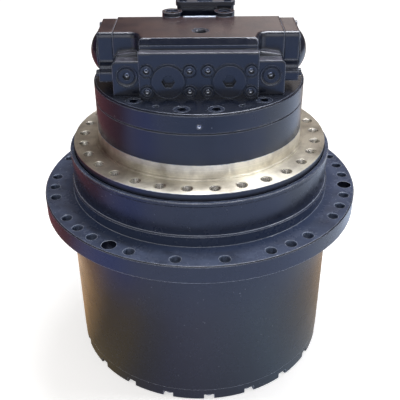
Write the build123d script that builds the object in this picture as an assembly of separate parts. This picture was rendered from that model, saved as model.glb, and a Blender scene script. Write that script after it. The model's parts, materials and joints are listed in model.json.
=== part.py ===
"""Excavator final drive: a two-stage planetary gear drive with its travel motor and valve block.

The origin is the centre of the bare frame-mounting face, and +Z runs along the drive's axis
towards the motor. The gear housing hangs below the face and turns about Z. The front, where the
oil ports are, faces -Y. Lengths are in millimetres and angles in degrees.
"""
from build123d import *
import math
import os

os.makedirs("parts", exist_ok=True)

# Fits and gaps
running_fit = 0.05          # radial gap of a shaft or piston that moves in its bore
seat_gap = 0.3              # gap between curved pieces of different bodies
tooth_play = 0.15           # metal taken off each flank of every tooth
socket_share = 0.55         # how deep a screw's socket goes into its head

# Frame side: the spindle casting
frame_pilot_d = 379.4
frame_pilot_h = 26.0
foot_ring_reach = 4.3       # radial step from the pilot out to the foot ring
foot_ring_h = 3.0
frame_flange_reach = 46.0   # radial step from the pilot out to the flange's rim
frame_flange_t = 55.0
frame_hole_inset = 18.2     # from the flange's rim in to the hole centres
frame_hole_r = 10.0         # M20, at the thread's outer size
frame_hole_depth = 36.0
frame_hole_count = 30
frame_hole_start = 6.6
motor_case_step = 0.8       # the painted case is this much smaller in radius than the bare pilot
motor_case_top = 82.0
motor_case_wall = 38.9
brake_floor_z = 8.0
motor_bore_r = 105.0
motor_floor_z = -100.0
shaft_wall_t = 24.0
spindle_nose_bore_r = 105.0
seam_chamfer = 1.5

# Motor cover plate and its fasteners
cover_plate_t = 33.7
cover_bolt_inset = 21.9
cover_bolt_head_r = 12.0
cover_bolt_head_h = 16.0
cover_bolt_seat_gap = 1.0
cover_bolt_shank_r = 8.0
cover_bolt_length = 50.0
cover_bolt_across = 14.0
bolt_hole_spare = 3.0       # how much deeper than its bolt a blind bolt hole goes
cover_bolt_angles = [-170, -140, -110, -40, -9.5, 9.5, 40, 110, 140, 170]
cover_screw_angles = [-24.7, 24.7]
cover_screw_head_r = 5.0
cover_screw_length = 18.0
cover_screw_across = 5.0
cover_plate_round = 3.0
side_plug_r = 4.0
side_plug_depth = 12.0
side_plug_sunk = 1.5
side_plug_drop = 20.2       # from the cover plate's top down to the side plug

# Gear housing: neck, sprocket flange and barrel
lip_top_z = -13.0
lip_gap = 1.3
lip_t = 7.0
lip_h = 6.0
lip_step = 1.0              # the neck below the lip is this much smaller in radius
lip_taper_h = 2.0
sprocket_face_z = -96.0
sprocket_pilot_step = 3.0   # radial step from the neck out to the sprocket pilot
sprocket_pilot_h = 21.0
sprocket_pilot_chamfer = 2.0
sprocket_flange_reach = 54.0
sprocket_flange_t = 33.0
sprocket_flange_chamfer = 2.0
sprocket_hole_inset = 18.5
sprocket_hole_r = 10.0      # M20, at the thread's outer size
lifting_hole_r = 13.0
sprocket_hole_places = 44
tapped_places = [1, 3, 4, 5, 7, 8, 9, 11, 12, 13, 15, 16, 17, 19, 20, 21, 23, 24, 26, 27,
                 29, 30, 31, 33, 34, 35, 37, 38, 39, 41, 43]
lifting_places = [10, 25, 40]
barrel_inset = 44.5         # radial step from the sprocket flange's rim in to the barrel
barrel_length = 293.0
barrel_wall = 33.5

# Gear cover and its bolts
gear_cover_t = 25.0
gear_cover_spigot_h = 11.0
gear_cover_rim_w = 42.0     # from the barrel's bore in to the recess in the cover's face
gear_cover_recess_depth = 6.0
gear_cover_bolt_r = 6.0
gear_cover_bolt_head_r = 9.0
gear_cover_bolt_inset = 17.0
gear_cover_bolt_across = 10.0
gear_cover_step = 0.5
gear_cover_chamfer = 1.5
gear_cover_bolt_length = 34.0
gear_cover_bolt_count = 20
gear_cover_bolt_start = 3.5
notch_width = 19.5
notch_depth = 12.0
oil_plug_r = 16.0
oil_plug_inset = 36.0
oil_plug_across = 12.0
oil_plug_socket_depth = 10.0
oil_plug_angles = [-60, 60, 180]

# Main bearings, ring nut and face seal
bearing_bore_r = 150.0
bearing_section = 37.0      # from the bearing's bore out to its outer face
bearing_width = 46.0
bearing_ring_t = 12.0
bearing_slope = 4.5         # how far each cone leans over half the bearing's width
bearing_drop = 15.0         # from the frame flange's underside down to the upper bearing
bearing_shoulder_h = 34.0
bearing_shoulder_w = 8.0
bearing_seat_spare = 9.0
roller_count = 18
roller_gap = 0.4
roller_end_gap = 4.0
roller_sides = 10
ring_nut_t = 14.0
ring_nut_w = 20.0
ring_nut_slot_w = 14.0
ring_nut_slot_depth = 6.0
ring_nut_slot_h = 8.0
ring_nut_end_gap = 4.0      # from the ring nut down to the spindle's end
seal_recess_inset = 7.7
seal_collar_inset = 28.0
seal_ring_gap = 6.0
seal_ring_w = 11.0
seal_recess_depth = 13.0
seal_meeting_drop = 1.3
seal_wire_sides = 12

# Gear train
ring_teeth = 60
sun_1_teeth = 12
sun_2_teeth = 16
planets_1 = 3
planets_2 = 4
pressure_angle = 20.0
addendum = 0.85
dedendum = 1.2
ring_runout = 3.6           # step from the tooth roots out to the barrel bore
planet_2_share = 0.6        # the second stage's planets take this share of the gears' room
washer_t = 3.6
washer_gap = 0.4
washer_w = 10.0             # how far a thrust washer reaches past its needle bearing
carrier_2_plate_t = 20.0
carrier_2_lower_t = 16.0
carrier_2_neck_h = 50.0
carrier_gap = 6.0
carrier_1_hub_t = 18.0
carrier_1_plate_t = 14.0
carrier_tip_gap = 9.0       # from the ring's tooth tips in to the carriers' rims
carrier_1_step = 8.0        # the first carrier is this much smaller in radius
carrier_bore_gap = 3.0      # from a sun's tooth tips out to the carrier's bore
post_inset = 10.0
pin_1_share = 3.4           # pin radius in modules
pin_2_share = 4.0
needle_t = 8.0
post_share = 3.5            # post radius in modules
sun_2_wall = 3.6            # from the second sun's tooth roots in to its shaft
sun_2_carrier_gap = 11.0
sun_end_spare = 1.0         # how far each sun reaches past its planets
coupling_drop = 28.0        # from the shaft wall down to the middle of the coupling
coupling_r = 38.0
coupling_length = 50.0
shaft_end_gap = 1.0
thrust_plate_r = 60.0
thrust_plate_t = 5.7
thrust_room = 7.0
thrust_button_r = 15.0
sun_2_bore_gap = 6.0

# Travel motor and parking brake
shaft_r = 24.0
shaft_hole_gap = 6.0
shaft_bearing_r = 45.0
upper_bearing_t = 8.0
shaft_bearing_t = 20.0
bearing_end_gap = 2.0
brake_ring_w = 70.0         # room for the brake between the cylinder block and the case
block_length = 92.0
bore_end_wall = 14.0
valve_plate_t = 7.5
kidney_half_width = 7.0
kidney_rim = 17.0           # how far the valve plate reaches past its ports
kidney_bridge = 12.0
piston_count = 9
piston_r = 12.0
piston_wall = 16.0          # from a piston bore out to the cylinder block's rim
piston_sides = 12
piston_neck_r = 6.6
piston_out = 6.0
piston_room = 30.0
shoe_r = 15.0
shoe_t = 8.0
retainer_t = 4.0
retainer_rim = 6.0
swash_plate_t = 31.0
swash_side_gap = 12.0
swash_bore_gap = 9.0
steel_plate_t = 4.0
friction_disc_t = 3.0
friction_disc_count = 3
friction_disc_inset = 32.0
plate_bore_gap = 4.0
brake_piston_t = 30.0
brake_piston_gap = 12.0
brake_spring_count = 10
brake_spring_r = 7.0
brake_spring_wire = 2.5
brake_spring_floor = 12.0
brake_pocket_gap = 0.5

# Valve block on the cover plate
block_half_width = 142.0
block_back_y = 24.0
wing_front_y = -72.0
nose_reach = 39.5           # how far the nose stands out in front of the wings
pad_reach = 13.5            # how far the port pad stands out in front of the nose
shoulder_reach = 36.0
nose_half_width = 95.0
nose_flare = 9.0
nose_blend = 13.0           # radius of the cast corner between nose and wing
pad_overhang = 2.0          # the pad is this much wider than the nose on each side
block_height = 96.3
pad_height = 78.8
nose_chamfer_back = 10.3
nose_chamfer_down = 9.7
wing_round = 8.0
edge_round = 2.0
small_plug_x = 119.0
small_plug_height = 34.0
shoulder_height = 59.5
shoulder_round = 8.0
shoulder_overlap = 6.0
ridge_reach = 16.0          # how far the cast ridge above each shoulder stands out from the wing
ridge_rise_out = 4.0        # from the shoulder's top up to the ridge, at its outer end
ridge_rise_in = 11.0        # and beside the nose
ridge_round = 3.0
port_x = 49.7
port_height = 31.5
port_plug_r = 26.5
port_recess_r = 28.5
port_recess_depth = 9.0
port_plug_proud = 2.5
port_plug_across = 19.0
port_plug_socket = 12.0
port_stem_r = 20.5
port_stem_depth = 30.0
port_hole_spare = 10.0
port_screw_dx = 69.85
port_screw_dz = 35.71
port_screw_r = 6.0
port_screw_head_r = 9.0
port_screw_head_h = 12.0
port_screw_across = 10.0
port_screw_seat_r = 10.5
port_screw_seat_depth = 9.0
port_screw_length = 30.0
screw_hole_spare = 2.0
small_plug_r = 13.0
small_plug_seat_r = 17.0
small_plug_seat_depth = 1.5
small_plug_sunk = 0.5
small_plug_across = 12.0
small_plug_socket = 9.0
small_plug_depth = 22.0
top_port_x = 3.4
top_port_y = -62.0
top_port_r = 10.5
top_port_depth = 24.0
top_port_seat_r = 14.0
top_port_seat_depth = 2.0

# End covers, spool and springs
end_cover_t = 25.0
end_cover_height = 74.0
end_cover_back_inset = 3.0
end_cover_foot_reach = 14.0  # how far the foot stands out in front of the cover
end_cover_foot_drop = 79.0   # from the block's top down to the foot's underside
end_cover_foot_h = 31.5
end_cover_foot_front_h = 15.5
end_cover_ridge_drop = 7.5
end_cover_ridge_step = 2.5
spool_y = -38.0
spool_drop = 39.5           # from the block's top down to the spool's axis
spool_bore_r = 17.0
spool_length = 170.0
spool_travel = 6.0
spool_middle_land = 48.0
spool_groove = 28.0
spool_groove_depth = 5.0
spool_cap_r = 33.0
spool_cap_t = 17.0
spool_cap_rim = 3.0
spool_cap_stem = 14.0
spool_spring_r = 13.0
spool_spring_wire_r = 1.6
spool_spring_turns = 5
end_bolt_r = 4.0
end_bolt_head_r = 6.5
end_bolt_head_h = 6.0
end_bolt_across = 6.0
end_bolt_inset = 11.0
foot_bolt_inset = 14.0       # from the foot's front; the heads pass inside the frame pilot
foot_bolt_lift = 10.0

# Rear valve body
rear_left_x = -38.5
rear_right_x = 64.0
rear_gap = 23.0             # from the valve block's back to the rear body
rear_depth = 57.0
rear_height = 109.0
rear_cover_t = 7.5
rear_cover_overhang = 2.0
rear_corner_r = 8.0
rear_screw_r = 4.0
rear_screw_head_r = 6.5
rear_screw_head_h = 8.0
rear_screw_length = 25.0
rear_screw_across = 6.0
rear_screw_inset = 11.0
cartridge_x = 46.5
cartridge_reach = 11.0      # from the valve block's back to the cartridge bosses' centres
cartridge_r = 18.0
cartridge_height = 103.5
cartridge_fit = 0.02
cartridge_plug_r = 12.0
cartridge_plug_depth = 14.0
cartridge_plug_sunk = 2.0
cartridge_plug_socket = 8.0
top_plug_x = 12.0
top_plug_inset = 27.0       # from the rear body's front to the plug
top_plug_r = 14.0
top_plug_h = 9.0

# Radii and heights worked out from the sizes above
foot_ring_r = frame_pilot_d / 2 + foot_ring_reach
frame_flange_r = frame_pilot_d / 2 + frame_flange_reach
frame_hole_circle_r = frame_flange_r - frame_hole_inset
motor_case_r = frame_pilot_d / 2 - motor_case_step
brake_bore_r = motor_case_r - motor_case_wall
block_r = brake_bore_r - brake_ring_w
piston_circle_r = block_r - piston_wall - piston_r
cover_bolt_circle_r = motor_case_r - cover_bolt_inset
cover_plate_top = motor_case_top + cover_plate_t
block_top = cover_plate_top + block_height
lip_r = frame_flange_r + lip_gap + lip_t
neck_r = lip_r - lip_step
sprocket_pilot_r = neck_r + sprocket_pilot_step
sprocket_flange_r = sprocket_pilot_r + sprocket_flange_reach
sprocket_hole_circle_r = sprocket_flange_r - sprocket_hole_inset
barrel_r = sprocket_flange_r - barrel_inset
barrel_bore_r = barrel_r - barrel_wall
barrel_top = sprocket_face_z - sprocket_flange_t
barrel_bottom = barrel_top - barrel_length
gear_cover_bolt_circle_r = barrel_r - gear_cover_bolt_inset
gear_cover_recess_r = barrel_bore_r - gear_cover_rim_w
cover_bottom = barrel_bottom - gear_cover_t
cover_inner_z = barrel_bottom + gear_cover_spigot_h
bearing_outer_r = bearing_bore_r + bearing_section
bearing_shoulder_r = bearing_outer_r - bearing_shoulder_w
roller_r = bearing_section / 2 - bearing_ring_t - roller_gap
upper_bearing_top = -frame_flange_t - bearing_drop
upper_bearing_bottom = upper_bearing_top - bearing_width
lower_bearing_top = upper_bearing_bottom - bearing_shoulder_h
lower_bearing_bottom = lower_bearing_top - bearing_width
spindle_end_z = lower_bearing_bottom - ring_nut_t - ring_nut_end_gap
seal_recess_r = frame_flange_r - seal_recess_inset
seal_collar_r = seal_recess_r - seal_collar_inset
seal_ring_inner_r = seal_collar_r + seal_ring_gap
seal_ring_outer_r = seal_ring_inner_r + seal_ring_w
seal_meeting_z = -frame_flange_t - seal_meeting_drop
ring_root_r = barrel_bore_r - ring_runout
module = ring_root_r / (ring_teeth / 2 + dedendum)
ring_tip_r = module * (ring_teeth / 2 - addendum)
planet_1_teeth = (ring_teeth - sun_1_teeth) // 2
planet_2_teeth = (ring_teeth - sun_2_teeth) // 2
centre_1 = module * (sun_1_teeth + planet_1_teeth) / 2
centre_2 = module * (sun_2_teeth + planet_2_teeth) / 2
pin_1_r = module * pin_1_share
pin_2_r = module * pin_2_share
post_r = module * post_share
carrier_2_r = ring_tip_r - carrier_tip_gap
carrier_1_r = carrier_2_r - carrier_1_step
sun_2_shaft_r = module * (sun_2_teeth / 2 - dedendum) - sun_2_wall
planet_room = 2 * (washer_t + washer_gap)
carrier_stack = (carrier_2_plate_t + carrier_2_lower_t + carrier_gap + carrier_1_hub_t
                 + carrier_1_plate_t + 2 * planet_room)
gear_room = spindle_end_z - cover_inner_z - carrier_stack - thrust_room
planet_2_width = gear_room * planet_2_share
planet_1_width = gear_room - planet_2_width
carrier_2_bottom = spindle_end_z - carrier_2_plate_t
planet_2_top = carrier_2_bottom - planet_room / 2
planet_2_bottom = planet_2_top - planet_2_width
carrier_2_lower_top = planet_2_bottom - planet_room / 2
carrier_2_lower_bottom = carrier_2_lower_top - carrier_2_lower_t
carrier_1_top = carrier_2_lower_bottom - carrier_gap
carrier_1_hub_bottom = carrier_1_top - carrier_1_hub_t
planet_1_top = carrier_1_hub_bottom - planet_room / 2
planet_1_bottom = planet_1_top - planet_1_width
carrier_1_lower_top = planet_1_bottom - planet_room / 2
carrier_1_bottom = carrier_1_lower_top - carrier_1_plate_t
block_bottom_z = motor_case_top - valve_plate_t - seat_gap - block_length
swash_top = motor_floor_z + swash_plate_t
shoe_bottom = swash_top + seat_gap
shoe_top = shoe_bottom + shoe_t
disc_pitch = steel_plate_t + friction_disc_t + 2 * seat_gap
brake_piston_bottom = brake_floor_z + friction_disc_count * disc_pitch + steel_plate_t
brake_spring_circle_r = (brake_bore_r + block_r + brake_piston_gap + plate_bore_gap) / 2
coupling_middle = motor_floor_z - shaft_wall_t - coupling_drop
spool_z = block_top - spool_drop
nose_front_y = wing_front_y - nose_reach
pad_front_y = nose_front_y - pad_reach
shoulder_front_y = wing_front_y - shoulder_reach
pad_half_width = nose_half_width + pad_overhang
end_cover_back_y = block_back_y - end_cover_back_inset
end_cover_foot_y = wing_front_y - end_cover_foot_reach
end_cover_foot_z = block_top - end_cover_foot_drop
end_cover_outer_x = block_half_width + end_cover_t
rear_front_y = block_back_y + rear_gap
rear_back_y = rear_front_y + rear_depth
cartridge_y = block_back_y + cartridge_reach


# Basic shapes
def rod(radius, bottom, top, x=0.0, y=0.0):
    """A solid cylinder standing between two heights."""
    body = Cylinder(radius, top - bottom, align=(Align.CENTER, Align.CENTER, Align.MIN))
    return Pos(x, y, bottom) * body


def tube(outer_r, inner_r, bottom, top, x=0.0, y=0.0):
    """A round sleeve standing between two heights."""
    return rod(outer_r, bottom, top, x, y) - rod(inner_r, bottom - 1, top + 1, x, y)


def turned(profile):
    """A body turned about Z from a closed outline of (radius, height) points."""
    return revolve(Plane.XZ * make_face(Polyline(*profile, close=True)), Axis.Z, 360)


def plate(outline, bottom, top):
    """A flat body with a closed (x, y) outline between two heights."""
    return extrude(Pos(0, 0, bottom) * make_face(Polyline(*outline, close=True)), top - bottom)


def brick(x0, x1, y0, y1, z0, z1):
    """A rectangular body given by its two corners."""
    body = Box(x1 - x0, y1 - y0, z1 - z0, align=(Align.MIN, Align.MIN, Align.MIN))
    return Pos(x0, y0, z0) * body


def facing_front(radius, front, back, x, z):
    """A solid cylinder along Y from its front end to its back end."""
    return Pos(x, front, z) * Rot(-90, 0, 0) * rod(radius, 0, back - front)


def facing_right(radius, left, right, y, z):
    """A solid cylinder along X from its left end to its right end."""
    return Pos(left, y, z) * Rot(0, 90, 0) * rod(radius, 0, right - left)


def around(radius, angle):
    """A point on a circle, with the angle counted from the front towards +X."""
    turn = math.radians(angle)
    return radius * math.sin(turn), -radius * math.cos(turn)


def equal_angles(count, start=0.0):
    return [start + 360.0 * i / count for i in range(count)]


def many_sided(radius, sides, bottom, top):
    """A prism that stands in for a small inner cylinder."""
    return extrude(Pos(0, 0, bottom) * RegularPolygon(radius, sides), top - bottom)


def hex_socket(across, depth, top):
    """The cutter for a hexagon socket that opens upwards at a height."""
    return many_sided(across / math.sqrt(3), 6, top - depth, top + 1)


def socket_screw(head_r, head_h, shank_r, length, across):
    """A socket-head screw, pointing down, with its head's seat at height zero."""
    head = rod(head_r, 0, head_h)
    shank = rod(shank_r, -length, 0)
    return head + shank - hex_socket(across, head_h * socket_share, head_h)


def group(pieces):
    return Compound(children=pieces)


# Gear teeth
def involute(angle):
    return math.tan(angle) - angle


def tooth_outline(teeth, inner_r, outer_r, play):
    """Closed outline of a toothed wheel whose flanks follow an involute.

    A positive play thins every tooth. The first tooth is centred on +X. With a negative play it
    is the cutter for the spaces of an internal gear.
    """
    pitch_r = module * teeth / 2
    base_r = pitch_r * math.cos(math.radians(pressure_angle))
    half = math.pi / (2 * teeth) - play / pitch_r + involute(math.radians(pressure_angle))
    flank = []
    for radius in (inner_r, pitch_r, outer_r):
        angle = math.acos(min(1.0, base_r / radius))
        flank.append((radius, half - involute(angle)))
    outline = []
    for tooth in range(teeth):
        middle = 2 * math.pi * tooth / teeth
        left = [(radius, middle - angle) for radius, angle in flank]
        right = [(radius, middle + angle) for radius, angle in reversed(flank)]
        outline += left + right
    return [(radius * math.cos(turn), radius * math.sin(turn)) for radius, turn in outline]


def gear(teeth, bottom, top):
    pitch_r = module * teeth / 2
    root_r = pitch_r - dedendum * module
    tip_r = pitch_r + addendum * module
    return plate(tooth_outline(teeth, root_r, tip_r, tooth_play), bottom, top)


def planet_angle(index, count):
    return 360.0 * index / count


def planet_turn(index, count, teeth):
    """How far a planet is turned at rest, so that it meshes with the ring's teeth."""
    angle = planet_angle(index, count)
    return angle * (1 - ring_teeth / teeth)


def at_planet(index, count, centre):
    angle = math.radians(planet_angle(index, count))
    return Pos(centre * math.cos(angle), centre * math.sin(angle), 0)


# Frame side
def make_spindle():
    bearing_end_z = motor_floor_z - shaft_bearing_t - bearing_end_gap
    wall_end_z = motor_floor_z - shaft_wall_t
    seal_floor_z = seal_recess_depth - frame_flange_t
    collar_end_z = upper_bearing_top + bearing_end_gap
    outline = [
        (frame_flange_r, 0), (foot_ring_r, 0), (foot_ring_r, foot_ring_h),
        (frame_pilot_d / 2, foot_ring_h), (frame_pilot_d / 2, frame_pilot_h),
        (motor_case_r, frame_pilot_h), (motor_case_r, motor_case_top - seam_chamfer),
        (motor_case_r - seam_chamfer, motor_case_top), (brake_bore_r, motor_case_top),
        (brake_bore_r, brake_floor_z), (motor_bore_r, brake_floor_z),
        (motor_bore_r, motor_floor_z), (shaft_bearing_r, motor_floor_z),
        (shaft_bearing_r, bearing_end_z), (shaft_r + shaft_hole_gap, bearing_end_z),
        (shaft_r + shaft_hole_gap, wall_end_z), (spindle_nose_bore_r, wall_end_z),
        (spindle_nose_bore_r, spindle_end_z), (bearing_bore_r, spindle_end_z),
        (bearing_bore_r, collar_end_z), (seal_collar_r, collar_end_z),
        (seal_collar_r, seal_floor_z), (seal_recess_r, seal_floor_z),
        (seal_recess_r, -frame_flange_t), (frame_flange_r, -frame_flange_t),
    ]
    body = turned(outline)
    holes = [rod(frame_hole_r, -frame_hole_depth, 1, *around(frame_hole_circle_r, angle))
             for angle in equal_angles(frame_hole_count, frame_hole_start)]
    bolt_end_z = cover_plate_top - cover_bolt_head_h - cover_bolt_length - bolt_hole_spare
    bolts = [rod(cover_bolt_shank_r, bolt_end_z, motor_case_top + 1, *around(cover_bolt_circle_r, angle))
             for angle in cover_bolt_angles]
    return body - holes - bolts


def side_plug_z():
    return cover_plate_top - side_plug_drop


def make_motor_cover_plate():
    body = turned([
        (0, motor_case_top), (motor_case_r - seam_chamfer, motor_case_top),
        (motor_case_r, motor_case_top + seam_chamfer), (motor_case_r, cover_plate_top - cover_plate_round),
        (motor_case_r - cover_plate_round, cover_plate_top), (0, cover_plate_top),
    ])
    cuts = [rod(shaft_r + upper_bearing_t, motor_case_top - 1, motor_case_top + shaft_bearing_t)]
    for angle in cover_bolt_angles:
        x, y = around(cover_bolt_circle_r, angle)
        seat_r = cover_bolt_head_r + cover_bolt_seat_gap
        cuts.append(rod(seat_r, cover_plate_top - cover_bolt_head_h, cover_plate_top + 1, x, y))
        cuts.append(rod(cover_bolt_shank_r, motor_case_top - 1, cover_plate_top, x, y))
    for angle in cover_screw_angles:
        x, y = around(cover_bolt_circle_r, angle)
        cuts.append(rod(cover_screw_head_r, cover_plate_top - cover_screw_length, cover_plate_top + 1, x, y))
    front = -motor_case_r
    cuts.append(facing_front(side_plug_r, front - 1, front + side_plug_depth, 0, side_plug_z()))
    return body - cuts


def make_cover_plate_bolts():
    screw = socket_screw(cover_bolt_head_r, cover_bolt_head_h, cover_bolt_shank_r, cover_bolt_length,
                         cover_bolt_across)
    seat = cover_plate_top - cover_bolt_head_h
    return group([Pos(*around(cover_bolt_circle_r, angle), seat) * screw for angle in cover_bolt_angles])


def cover_plate_plugs():
    top = cover_plate_top - side_plug_sunk
    screw = rod(cover_screw_head_r, cover_plate_top - cover_screw_length, top)
    screw = screw - hex_socket(cover_screw_across, cover_screw_across, top)
    pieces = [Pos(*around(cover_bolt_circle_r, angle), 0) * screw for angle in cover_screw_angles]
    front = -motor_case_r + side_plug_sunk
    pieces.append(facing_front(side_plug_r, front, -motor_case_r + side_plug_depth, 0, side_plug_z()))
    return pieces


# Gear housing side
def make_gear_housing():
    lip_inner_r = frame_flange_r + lip_gap
    teeth_bottom = carrier_1_lower_top
    seat_end_z = lower_bearing_bottom - bearing_seat_spare
    pilot_top_z = sprocket_face_z + sprocket_pilot_h
    outline = [
        (lip_inner_r, lip_top_z), (lip_r - 1, lip_top_z), (lip_r, lip_top_z - 1),
        (lip_r, lip_top_z - lip_h), (neck_r, lip_top_z - lip_h - lip_taper_h),
        (neck_r, pilot_top_z), (sprocket_pilot_r - sprocket_pilot_chamfer, pilot_top_z),
        (sprocket_pilot_r, pilot_top_z - sprocket_pilot_chamfer), (sprocket_pilot_r, sprocket_face_z),
        (sprocket_flange_r - sprocket_flange_chamfer, sprocket_face_z),
        (sprocket_flange_r, sprocket_face_z - sprocket_flange_chamfer),
        (sprocket_flange_r, barrel_top), (barrel_r, barrel_top), (barrel_r, barrel_bottom),
        (barrel_bore_r, barrel_bottom), (barrel_bore_r, teeth_bottom), (ring_tip_r, teeth_bottom),
        (ring_tip_r, carrier_2_bottom), (barrel_bore_r, carrier_2_bottom), (barrel_bore_r, seat_end_z),
        (bearing_outer_r, seat_end_z), (bearing_outer_r, lower_bearing_top),
        (bearing_shoulder_r, lower_bearing_top), (bearing_shoulder_r, upper_bearing_bottom),
        (bearing_outer_r, upper_bearing_bottom), (bearing_outer_r, upper_bearing_top),
        (seal_recess_r, upper_bearing_top), (seal_recess_r, upper_bearing_top + seal_recess_depth),
        (lip_inner_r, upper_bearing_top + seal_recess_depth),
    ]
    body = turned(outline)
    spaces = tooth_outline(ring_teeth, ring_tip_r, ring_root_r, -tooth_play)
    body = body - plate(spaces, teeth_bottom - 1, carrier_2_bottom + 1)
    step = 360.0 / sprocket_hole_places
    hole = rod(sprocket_hole_r, barrel_top - 1, sprocket_face_z + 1)
    lifting_hole = rod(lifting_hole_r, barrel_top - 1, sprocket_face_z + 1)
    cuts = [Pos(*around(sprocket_hole_circle_r, place * step), 0) * hole for place in tapped_places]
    cuts += [Pos(*around(sprocket_hole_circle_r, place * step), 0) * lifting_hole for place in lifting_places]
    bolt_end_z = cover_bottom + notch_depth + gear_cover_bolt_length + bolt_hole_spare
    bolt_hole = rod(gear_cover_bolt_r, barrel_bottom - 1, bolt_end_z)
    cuts += [Pos(*around(gear_cover_bolt_circle_r, angle), 0) * bolt_hole
             for angle in gear_cover_bolt_angles()]
    return body - cuts


def gear_cover_bolt_angles():
    return equal_angles(gear_cover_bolt_count, gear_cover_bolt_start)


def oil_plug_places():
    return [around(gear_cover_recess_r - oil_plug_inset, angle) for angle in oil_plug_angles]


def make_gear_cover():
    spigot_r = barrel_bore_r - seat_gap
    rim_r = barrel_r - gear_cover_step
    face_z = cover_bottom + gear_cover_recess_depth
    body = turned([
        (0, cover_inner_z), (spigot_r, cover_inner_z), (spigot_r, barrel_bottom), (rim_r, barrel_bottom),
        (rim_r, cover_bottom + gear_cover_chamfer), (rim_r - gear_cover_chamfer, cover_bottom),
        (gear_cover_recess_r, cover_bottom), (gear_cover_recess_r, face_z), (0, face_z),
    ])
    notch_top = cover_bottom + notch_depth
    half = notch_width / 2
    notch = brick(-half, half, -notch_width, 0, cover_bottom - 1, notch_top)
    notch = notch + rod(half, cover_bottom - 1, notch_top)
    notch = notch + rod(gear_cover_bolt_r, cover_bottom, barrel_bottom + 1)
    cuts = [Pos(*around(gear_cover_bolt_circle_r, angle), 0) * Rot(0, 0, angle) * notch
            for angle in gear_cover_bolt_angles()]
    cuts += [rod(oil_plug_r, cover_bottom, cover_inner_z + 1, x, y) for x, y in oil_plug_places()]
    return body - cuts


def make_gear_cover_bolts():
    screw = socket_screw(gear_cover_bolt_head_r, notch_depth - 1, gear_cover_bolt_r, gear_cover_bolt_length,
                         gear_cover_bolt_across)
    screw = Rot(180, 0, 0) * screw
    seat = cover_bottom + notch_depth
    return group([Pos(*around(gear_cover_bolt_circle_r, angle), seat) * screw
                  for angle in gear_cover_bolt_angles()])


def make_oil_plugs():
    face = cover_bottom + gear_cover_recess_depth
    head = Rot(180, 0, 0) * hex_socket(oil_plug_across, oil_plug_socket_depth, -face)
    plug = rod(oil_plug_r, face, cover_inner_z - 1) - head
    return group([Pos(x, y, 0) * plug for x, y in oil_plug_places()])


# Bearings, nut and face seal
def bearing_faces(opens_down):
    """Radii of a bearing's two cones at its top and bottom ends."""
    lean = bearing_slope if opens_down else -bearing_slope
    inner = bearing_bore_r + bearing_ring_t
    outer = bearing_outer_r - bearing_ring_t
    return inner - lean, inner + lean, outer - lean, outer + lean


def make_bearing_races(inner_side):
    pieces = []
    for top, opens_down in ((upper_bearing_top, False), (lower_bearing_top, True)):
        inner_top, inner_low, outer_top, outer_low = bearing_faces(opens_down)
        bottom = top - bearing_width
        if inner_side:
            profile = [(bearing_bore_r, top), (inner_top, top), (inner_low, bottom),
                       (bearing_bore_r, bottom)]
        else:
            profile = [(outer_top, top), (bearing_outer_r, top), (bearing_outer_r, bottom),
                       (outer_low, bottom)]
        pieces.append(turned(profile))
    return group(pieces)


def make_rollers(top, opens_down):
    inner_top, inner_low, outer_top, outer_low = bearing_faces(opens_down)
    middle = (inner_top + outer_top + inner_low + outer_low) / 4
    lean = math.degrees(math.atan2(inner_low - inner_top, bearing_width))
    half = bearing_width / 2 - roller_end_gap
    roller = many_sided(roller_r, roller_sides, -half, half)
    roller = Pos(middle, 0, top - bearing_width / 2) * Rot(0, -lean, 0) * roller
    return group([Rot(0, 0, angle) * roller for angle in equal_angles(roller_count)])


def make_ring_nut():
    top = lower_bearing_bottom
    bottom = top - ring_nut_t
    outer_r = bearing_bore_r + ring_nut_w
    body = tube(outer_r, bearing_bore_r, bottom, top)
    slot = brick(outer_r - ring_nut_slot_depth, outer_r + 1, -ring_nut_slot_w / 2, ring_nut_slot_w / 2,
                 bottom - 1, bottom + ring_nut_slot_h)
    return body - [Rot(0, 0, angle) * slot for angle in equal_angles(6)]


def seal_ring(bottom, top):
    return tube(seal_ring_outer_r, seal_ring_inner_r, bottom, top)


def make_fixed_seal_ring():
    return seal_ring(seal_meeting_z, seal_recess_depth - frame_flange_t - seat_gap)


def make_turning_seal_ring():
    return seal_ring(upper_bearing_top + seat_gap, seal_meeting_z - seat_gap)


def make_seal_rubber(middle_z):
    """A rubber ring whose section is a many-sided round."""
    wire_r = (seal_recess_r - seal_ring_outer_r) / 2 - seat_gap
    middle_r = (seal_recess_r + seal_ring_outer_r) / 2
    turns = [math.radians(angle) for angle in equal_angles(seal_wire_sides)]
    return turned([(middle_r + wire_r * math.cos(turn), middle_z + wire_r * math.sin(turn))
                   for turn in turns])


# Gear train
def carrier_posts(count, carrier_r, bottom, top):
    """The posts that join a carrier's two plates, one between each pair of planets."""
    post = rod(post_r, bottom, top, carrier_r - post_r - post_inset, 0)
    return [Rot(0, 0, angle) * post for angle in equal_angles(count, 180.0 / count)]


def sun_tip_r(teeth):
    return module * (teeth / 2 + addendum)


def make_carrier_2():
    bore_r = sun_2_shaft_r + sun_2_carrier_gap
    body = tube(spindle_nose_bore_r, bore_r, spindle_end_z, spindle_end_z + carrier_2_neck_h)
    body += tube(carrier_2_r, bore_r, carrier_2_bottom, spindle_end_z)
    lower_bore_r = sun_tip_r(sun_2_teeth) + carrier_bore_gap
    body += tube(carrier_2_r, lower_bore_r, carrier_2_lower_bottom, carrier_2_lower_top)
    for post in carrier_posts(planets_2, carrier_2_r, carrier_2_lower_bottom, carrier_2_bottom):
        body += post
    pin_hole = rod(pin_2_r, carrier_2_lower_bottom - 1, spindle_end_z + 1)
    return body - [at_planet(i, planets_2, centre_2) * pin_hole for i in range(planets_2)]


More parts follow.
